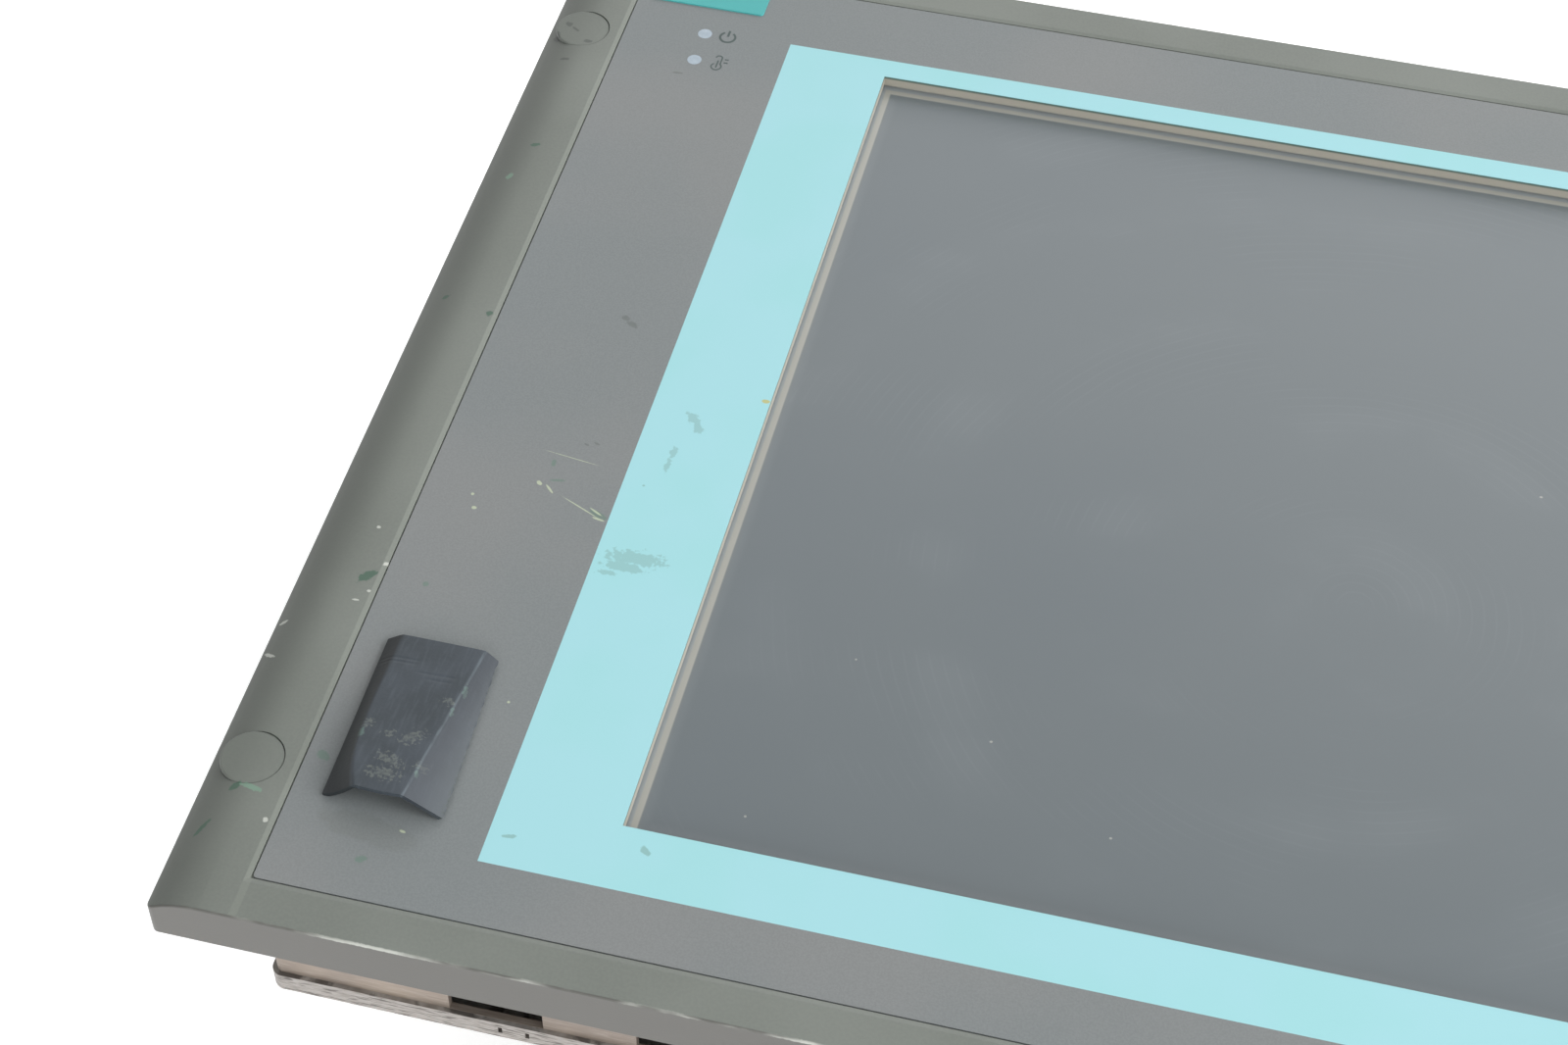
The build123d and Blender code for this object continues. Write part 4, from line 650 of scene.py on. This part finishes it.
paint = framePaint()
finishes = {
    "frame_paint": paint,
    "plug_plastic": paint,
    "foil_grey": foilGrey(),
    "band_turquoise": bandPrint(),
    "touch_glass": touchGlass(),
    "lens_clear": lightGuide(),
    "seal_rubber": moulded("sealRubber", tone(26, 26, 27), tone(44, 44, 45), 0.8, relief=0.05 * mm),
    "gasket_foam": moulded("gasketFoam", tone(158, 158, 150), tone(176, 175, 166), 0.8),
    "bare_steel": sheetMetal("tinnedSheet", tone(205, 205, 203), tone(172, 172, 171), 0.3, patch=18 * mm),
    "cell_dark": moulded("darkCell", tone(28, 30, 36), tone(34, 37, 44), 0.3, 3 * mm, 0.001 * mm, 0.3),
    "guide_clear": moulded("clearAcrylic", tone(206, 210, 210), tone(224, 227, 227), 0.15),
    "tube_white": moulded("whiteTube", tone(226, 226, 220), tone(238, 238, 234), 0.2),
    "zinc_steel": sheetMetal("zincSheet", tone(206, 205, 200), tone(160, 160, 158)),
    "screw_steel": sheetMetal("screwZinc", tone(196, 196, 190), tone(150, 150, 146), 0.3, patch=1.5 * mm),
    "board_green": circuitBoard(),
    "brass": sheetMetal("brass", tone(214, 186, 120), tone(176, 146, 88), 0.28, 1.0, patch=2 * mm),
    "white_plastic": moulded("whitePlastic", tone(214, 212, 202), tone(228, 226, 218), 0.45),
    "flap_rubber": moulded("flapRubberPlain", tone(70, 76, 86), tone(84, 90, 100), 0.5),
    "heat_sink_aluminium": sheetMetal("finnedAluminium", tone(216, 216, 218), tone(180, 180, 184), 0.34, 1.0),
    "black_plastic": moulded("blackPlastic", tone(30, 31, 33), tone(46, 47, 50), 0.5),
    "grey_plastic": moulded("greyPlastic", tone(150, 150, 150), tone(166, 166, 166), 0.45),
    "disk_aluminium": sheetMetal(
        "castAluminium", tone(190, 192, 195), tone(150, 152, 156), 0.42, 0.9, patch=3 * mm
    ),
    "cable_grey": moulded("cableGrey", tone(168, 168, 168), tone(186, 186, 186), 0.5),
}
ownFinishes = {
    "name_plate": platePrint(),
    "display_housing": housingZinc(),
    "housing_back": lipZinc(),
    "display_bezel": moulded("bezelTape", tone(212, 208, 196), tone(228, 224, 212), 0.6),
}


def dress(node, material):
    for place in node.material_slots:
        place.material = material
    if not node.material_slots:
        node.data.materials.append(material)


for part in frame["record"]["subparts"]:
    name = part["node"]
    dress(nodes[name], ownFinishes.get(name) or finishes[part["material_slot"]])
print("finishes made:", len(finishes) + len(ownFinishes))


# ---- new pieces

# Faces of a grid of points, as rows of four point numbers, seen from the side that the order makes outer.
def gridFaces(rows, columns, start=0, flip=False):
    numbers = start + np.arange(rows * columns).reshape(rows, columns)
    corners = [numbers[:-1, :-1], numbers[:-1, 1:], numbers[1:, 1:], numbers[1:, :-1]]
    faces = np.stack(corners, axis=-1).reshape(-1, 4)
    return faces[:, ::-1] if flip else faces


# A closed sheet between an upper and a lower grid of points: both grids, and a strip round their edges.
def closedSheet(upper, lower):
    rows, columns = upper.shape[:2]
    count = rows * columns
    points = np.concatenate([upper.reshape(-1, 3), lower.reshape(-1, 3)])
    numbers = np.arange(count).reshape(rows, columns)
    edge = np.concatenate([numbers[0, :-1], numbers[:-1, -1], numbers[-1, :0:-1], numbers[:0:-1, 0]])
    after = np.roll(edge, -1)
    strip = np.stack([edge, edge + count, after + count, after], axis=-1)
    faces = np.concatenate([gridFaces(rows, columns), gridFaces(rows, columns, count, True), strip])
    return points, faces


def newPiece(name, points, faces, material, body=None, uv=None, sharp=40.0):
    mesh = bpy.data.meshes.new(name)
    mesh.from_pydata(points.tolist(), [], faces.tolist())
    mesh.materials.append(material)
    mesh.shade_smooth()
    mesh.set_sharp_from_angle(angle=math.radians(sharp))
    if uv is not None:
        corners = np.empty(len(mesh.loops), np.int32)
        mesh.loops.foreach_get("vertex_index", corners)
        mesh.uv_layers.new(name="surface").data.foreach_set("uv", uv[corners].astype(np.float32).ravel())
    piece = bpy.data.objects.new(name, mesh)
    bpy.context.scene.collection.objects.link(piece)
    if body:
        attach(piece, body)
    return piece


# The socket's rubber flap. Corner places are from the flap's left side, at its hinge end and its free end.
flapSet = {
    "hingeCorners": (0.0, 3.1, 21.3, 24.2),
    "freeCorners": (0.1, 7.3, 17.5, 25.6),
    "hingeHeight": 2.1,
    "freeHeight": 6.1,
    "hem": 0.66,
    "length": 41.9,
    "sheet": 1.05,
    "round": 0.32,  # how soft the folds are
    "cornerCut": 0.9,
    "hollow": 0.45,  # how much the left wing is hollowed at the free end
    "sag": 0.25,
    "wave": 0.05,
    "raggedEdge": 0.12,
    "creaseDepth": 0.1,
    "creaseWidth": 0.005,  # as a share of the flap's length
    "bend": 6.0,  # a bend for the hinge end; the flap is built at rest and never lifted
    "cells": (150, 120),  # along, across
    "mapWidth": 26.0,  # the width that the surface map takes as 1
    "rightFold": (0.819, 0.146),  # on the map: where the fold starts, and how far it goes left
    "paleMarks": (
        (14.6, -26.8, 2.6, 1.6, 40), (12.3, -33.8, 3.2, 1.5, -20), (18.6, -33.7, 1.6, 1.2, 0),
        (18.5, -15.7, 1.5, 0.9, 0), (4.6, -25.4, 1.6, 1.0, 50), (11.9, -37.4, 3.6, 1.6, 0),
        (9.5, -27.0, 1.4, 1.0, 0),
    ),
    "greenMarks": (
        (20.7, -11.9, 0.5, 1.9, 8), (4.0, -27.9, 0.7, 1.3, 0), (19.9, -18.0, 0.4, 1.6, 8),
        (18.4, -35.5, 0.4, 1.4, 8),
    ),
    # each crease: its place along the flap, and where it starts and ends across it
    "creases": ((0.16, 0.02, 0.36), (0.185, 0.03, 0.34), (0.235, 0.40, 0.72), (0.27, 0.5, 0.7)),
}


# The less of two heights, with the corner between them rounded.
def softLeast(first, second, soft):
    return (first + second - np.sqrt((first - second) ** 2 + soft**2)) / 2


# Height over the wing's foot: the soft least of the left wing's slope, the level top and the right wing's
# slope, where the left wing is a little hollow near the free end. The lower side is the same surface moved
# inwards by the sheet's thickness, and stops at the flap's rest level.
def makeFlap():
    low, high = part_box("socket_flap")
    rows, columns = flapSet["cells"]
    along, across = np.meshgrid(np.linspace(0, 1, rows + 1), np.linspace(0, 1, columns + 1), indexing="ij")
    # the left fold stays beside the edge, and leaves it only near the free end
    ways = (along, along**5, along, along)
    corners = [h + (f - h) * way for h, f, way in zip(flapSet["hingeCorners"], flapSet["freeCorners"], ways)]
    height = flapSet["hingeHeight"] + (flapSet["freeHeight"] - flapSet["hingeHeight"]) * along
    x = corners[0] + across * (corners[3] - corners[0])
    hollow = 1 + flapSet["hollow"] * along**3
    left = (x - corners[0]) / (corners[1] - corners[0])
    right = (corners[3] - x) / (corners[3] - corners[2])
    hem = flapSet["hem"]
    leftRise = hem + (height - hem) * np.sign(left) * np.abs(left) ** hollow
    rightRise = hem + (height - hem) * right
    soft = flapSet["round"]
    rise = softLeast(softLeast(leftRise, rightRise, soft), height, soft)
    for place, first, last in flapSet["creases"]:
        inside = 1 / (1 + np.exp(-(across - first) * 60)) / (1 + np.exp((across - last) * 60))
        away = (along - place + 0.02 * across) / flapSet["creaseWidth"]
        rise = rise - flapSet["creaseDepth"] * inside * np.exp(-(away**2))
    # the free end sags a little between its folds, and the whole sheet is slightly wavy
    between = np.clip((x - corners[1]) / (corners[2] - corners[1]), 0, 1)
    rise = rise - flapSet["sag"] * along**6 * np.sin(np.pi * between)
    rise = rise + flapSet["wave"] * np.sin(9 * along + 3 * across) * along
    wing = np.clip(1 - np.minimum(left, right), 0, 1)
    cut = flapSet["cornerCut"] * wing * (1 - along) ** 6
    ragged = flapSet["raggedEdge"] * np.sin(70 * along) * np.sin(23 * along + 1) * (across > 0.999)
    length = (high.y - low.y) / mm
    y = -along * length - cut
    upper = np.stack([x + ragged, y, np.maximum(rise, hem * 0.6)], axis=-1)
    slopeX = np.gradient(upper, axis=1)
    slopeY = np.gradient(upper, axis=0)
    normal = np.cross(slopeX, slopeY)
    normal = normal / np.linalg.norm(normal, axis=-1, keepdims=True)
    normal = normal * np.sign(normal[..., 2:])
    lower = upper - normal * flapSet["sheet"]
    lower[..., 0] = np.clip(lower[..., 0], upper[..., 0].min(), upper[..., 0].max())
    lower[..., 2] = np.maximum(lower[..., 2], 0)
    lower[..., 1] = np.clip(lower[..., 1], -length, 0)
    corner = np.array([low.x / mm, high.y / mm, low.z / mm])
    points, faces = closedSheet((upper + corner) * mm, (lower + corner) * mm)
    spread = np.stack([x / flapSet["mapWidth"], along], axis=-1).reshape(-1, 2)
    uv = np.concatenate([spread, spread])
    flap = newPiece("socketFlap", points, faces[:, ::-1], flapRubber(), uv=uv)
    settle(flap, 0.16 * mm)
    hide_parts("socket_flap")
    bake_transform(flap)


# Rounds the piece's hard edges with a bevel, and makes the result its mesh.
def settle(piece, width):
    bevel = piece.modifiers.new("rounding", "BEVEL")
    bevel.width = width
    bevel.segments = 2
    bevel.limit_method = "ANGLE"
    bevel.angle_limit = math.radians(50)
    shaped = piece.evaluated_get(bpy.context.evaluated_depsgraph_get())
    mesh = bpy.data.meshes.new_from_object(shaped)
    mesh.name = piece.name
    piece.modifiers.clear()
    piece.data = mesh


# Blue-black rubber, scuffed pale along its top, with green dirt at its right fold and rough right edge.
def flapRubber():
    material, graph = newMaterial("flapRubber")
    place = graph.surfacePlace()
    across, along = graph.apart(place)[:2]
    wide = graph.vector("MULTIPLY", place, (0.6, 1, 0))
    cloud = graph.noise(wide, 0.3, 3)
    fine = graph.noise(wide, 0.02, 3)
    streaks = graph.noise(graph.vector("MULTIPLY", place, (4, 1, 0)), 0.12, 3)
    colour = graph.mix(graph.step(cloud, 0.3, 0.7), tone(54, 62, 68), tone(67, 75, 83))
    colour = graph.mix(0.25 * graph.step(streaks, 0.45, 0.75), colour, tone(92, 101, 110))
    flat = graph.vector("MULTIPLY", place, (flapSet["mapWidth"] * mm, -flapSet["length"] * mm, 0))
    ragged = graph.noise(flat, 0.8 * mm, 5) * 4.4 - 2.1
    scuff = spots(graph, flat, ragged, flapSet["paleMarks"]) * graph.step(fine, 0.3, 0.62)
    dirt = spots(graph, flat, ragged * 0.6, flapSet["greenMarks"])
    colour = graph.mix(0.36 * scuff, colour, tone(138, 144, 136))
    colour = graph.mix(0.4 * dirt, colour, tone(112, 142, 130))
    # painted highlight along the crease of the right fold
    foldStart, foldSlope = flapSet["rightFold"]
    fold = graph.maths("ABSOLUTE", across - foldStart + foldSlope * along)
    line = graph.step(fold, 0.014, 0.005) * graph.step(streaks, 0.3, 0.6)
    colour = graph.mix(0.32 * line, colour, tone(112, 124, 130))
    # painted shade: the right wing beyond its fold is darker
    wing = graph.step(across + foldSlope * along, foldStart + 0.006, foldStart + 0.021)
    colour = graph.mix(0.55 * wing, colour, tone(44, 50, 58))
    # painted shade and light: the left side is darker, and the right side is lighter towards its edge
    shadedLeftSide = graph.step(across, 0.15 + 0.11 * along**5, 0.1 + 0.14 * along**5)
    colour = graph.mix(0.8 * shadedLeftSide, colour, tone(30, 34, 35))
    litRightSide = graph.step(across, 0.86 - 0.13 * along, 1.02 - 0.05 * along)
    colour = graph.mix(0.35 * litRightSide, colour, tone(96, 104, 108))
    edge = graph.step(across, 0.945, 0.985) * graph.step(fine, 0.42, 0.6)
    colour = graph.mix(0.55 * edge, colour, tone(58, 70, 58))
    graph.surface({
        "Base Color": colour,
        "Roughness": 0.44 + 0.12 * cloud + 0.15 * scuff,
        "Normal": graph.bump(fine + 0.5 * scuff, 0.03 * mm),
    })
    return material


# Small printed signs beside the lights: a power sign and a thermometer. Each is made of flat strokes.
signSet = {"aside": 5.9, "stroke": 0.55, "print": 0.04, "powerRadius": 1.9, "stem": 2.8, "bulb": 1.25}


# A stroke along a line of points: the line moved half its width to each side, with a thickness upwards.
def stroke(line, width, closed=False):
    line = np.asarray(line, float)
    ahead = np.roll(line, -1, axis=0) - np.roll(line, 1, axis=0)
    if not closed:
        ahead[0], ahead[-1] = line[1] - line[0], line[-1] - line[-2]
    ahead = ahead / np.linalg.norm(ahead, axis=1, keepdims=True)
    side = np.stack([-ahead[:, 1], ahead[:, 0]], axis=1) * width / 2
    grid = np.stack([line + side, line - side], axis=1)
    upper = np.concatenate([grid, np.full(grid.shape[:2] + (1,), signSet["print"])], axis=-1)
    lower = upper * (1, 1, 0.1)
    return closedSheet(upper, lower)


def makeSign(name, strokes, middle, material):
    points, faces, count = [], [], 0
    for some, those in strokes:
        points.append(some)
        faces.append(those + count)
        count += len(some)
    whole = np.concatenate(points) * mm + np.array([middle[0], middle[1], foilTop])
    newPiece(name, whole, np.concatenate(faces), material, "panel")


def makeSigns():
    low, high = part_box("indicator_lights")
    radius = (high.x - low.x) / 2
    x = (low.x + high.x) / 2 + signSet["aside"] * mm
    dark = moulded("signPrint", tone(72, 86, 84), tone(84, 98, 96), 0.5)
    wide = signSet["stroke"]
    turn = np.radians(np.linspace(125, 415, 40))
    ring = np.stack([np.cos(turn), np.sin(turn)], axis=1) * signSet["powerRadius"]
    bar = [(0, 0.3), (0, signSet["powerRadius"] + 0.6)]
    makeSign("powerSign", [stroke(ring, wide), stroke(bar, wide)], (x, high.y - radius), dark)

    bulb, stem = signSet["bulb"], signSet["stem"]
    turn = np.radians(np.linspace(128, 412, 30))
    outline = np.stack([np.cos(turn), np.sin(turn)], axis=1) * bulb - (0, 1.2)
    neck = outline[0][0]
    cap = np.radians(np.linspace(0, 180, 12))
    top = np.stack([np.cos(cap) * -neck, np.sin(cap) * -neck + stem - 0.7], axis=1)
    outline = np.concatenate([outline, top])
    ticks = [stroke([(1.5, y), (2.5, y)], wide * 0.7) for y in (0.6, 1.8)]
    core = stroke([(0, -1.6), (0, 1.1)], wide * 0.7)
    makeSign("heatSign", [stroke(outline, wide * 0.65, True), core] + ticks, (x, low.y + radius), dark)


makeFlap()
makeSigns()
print("new pieces made")
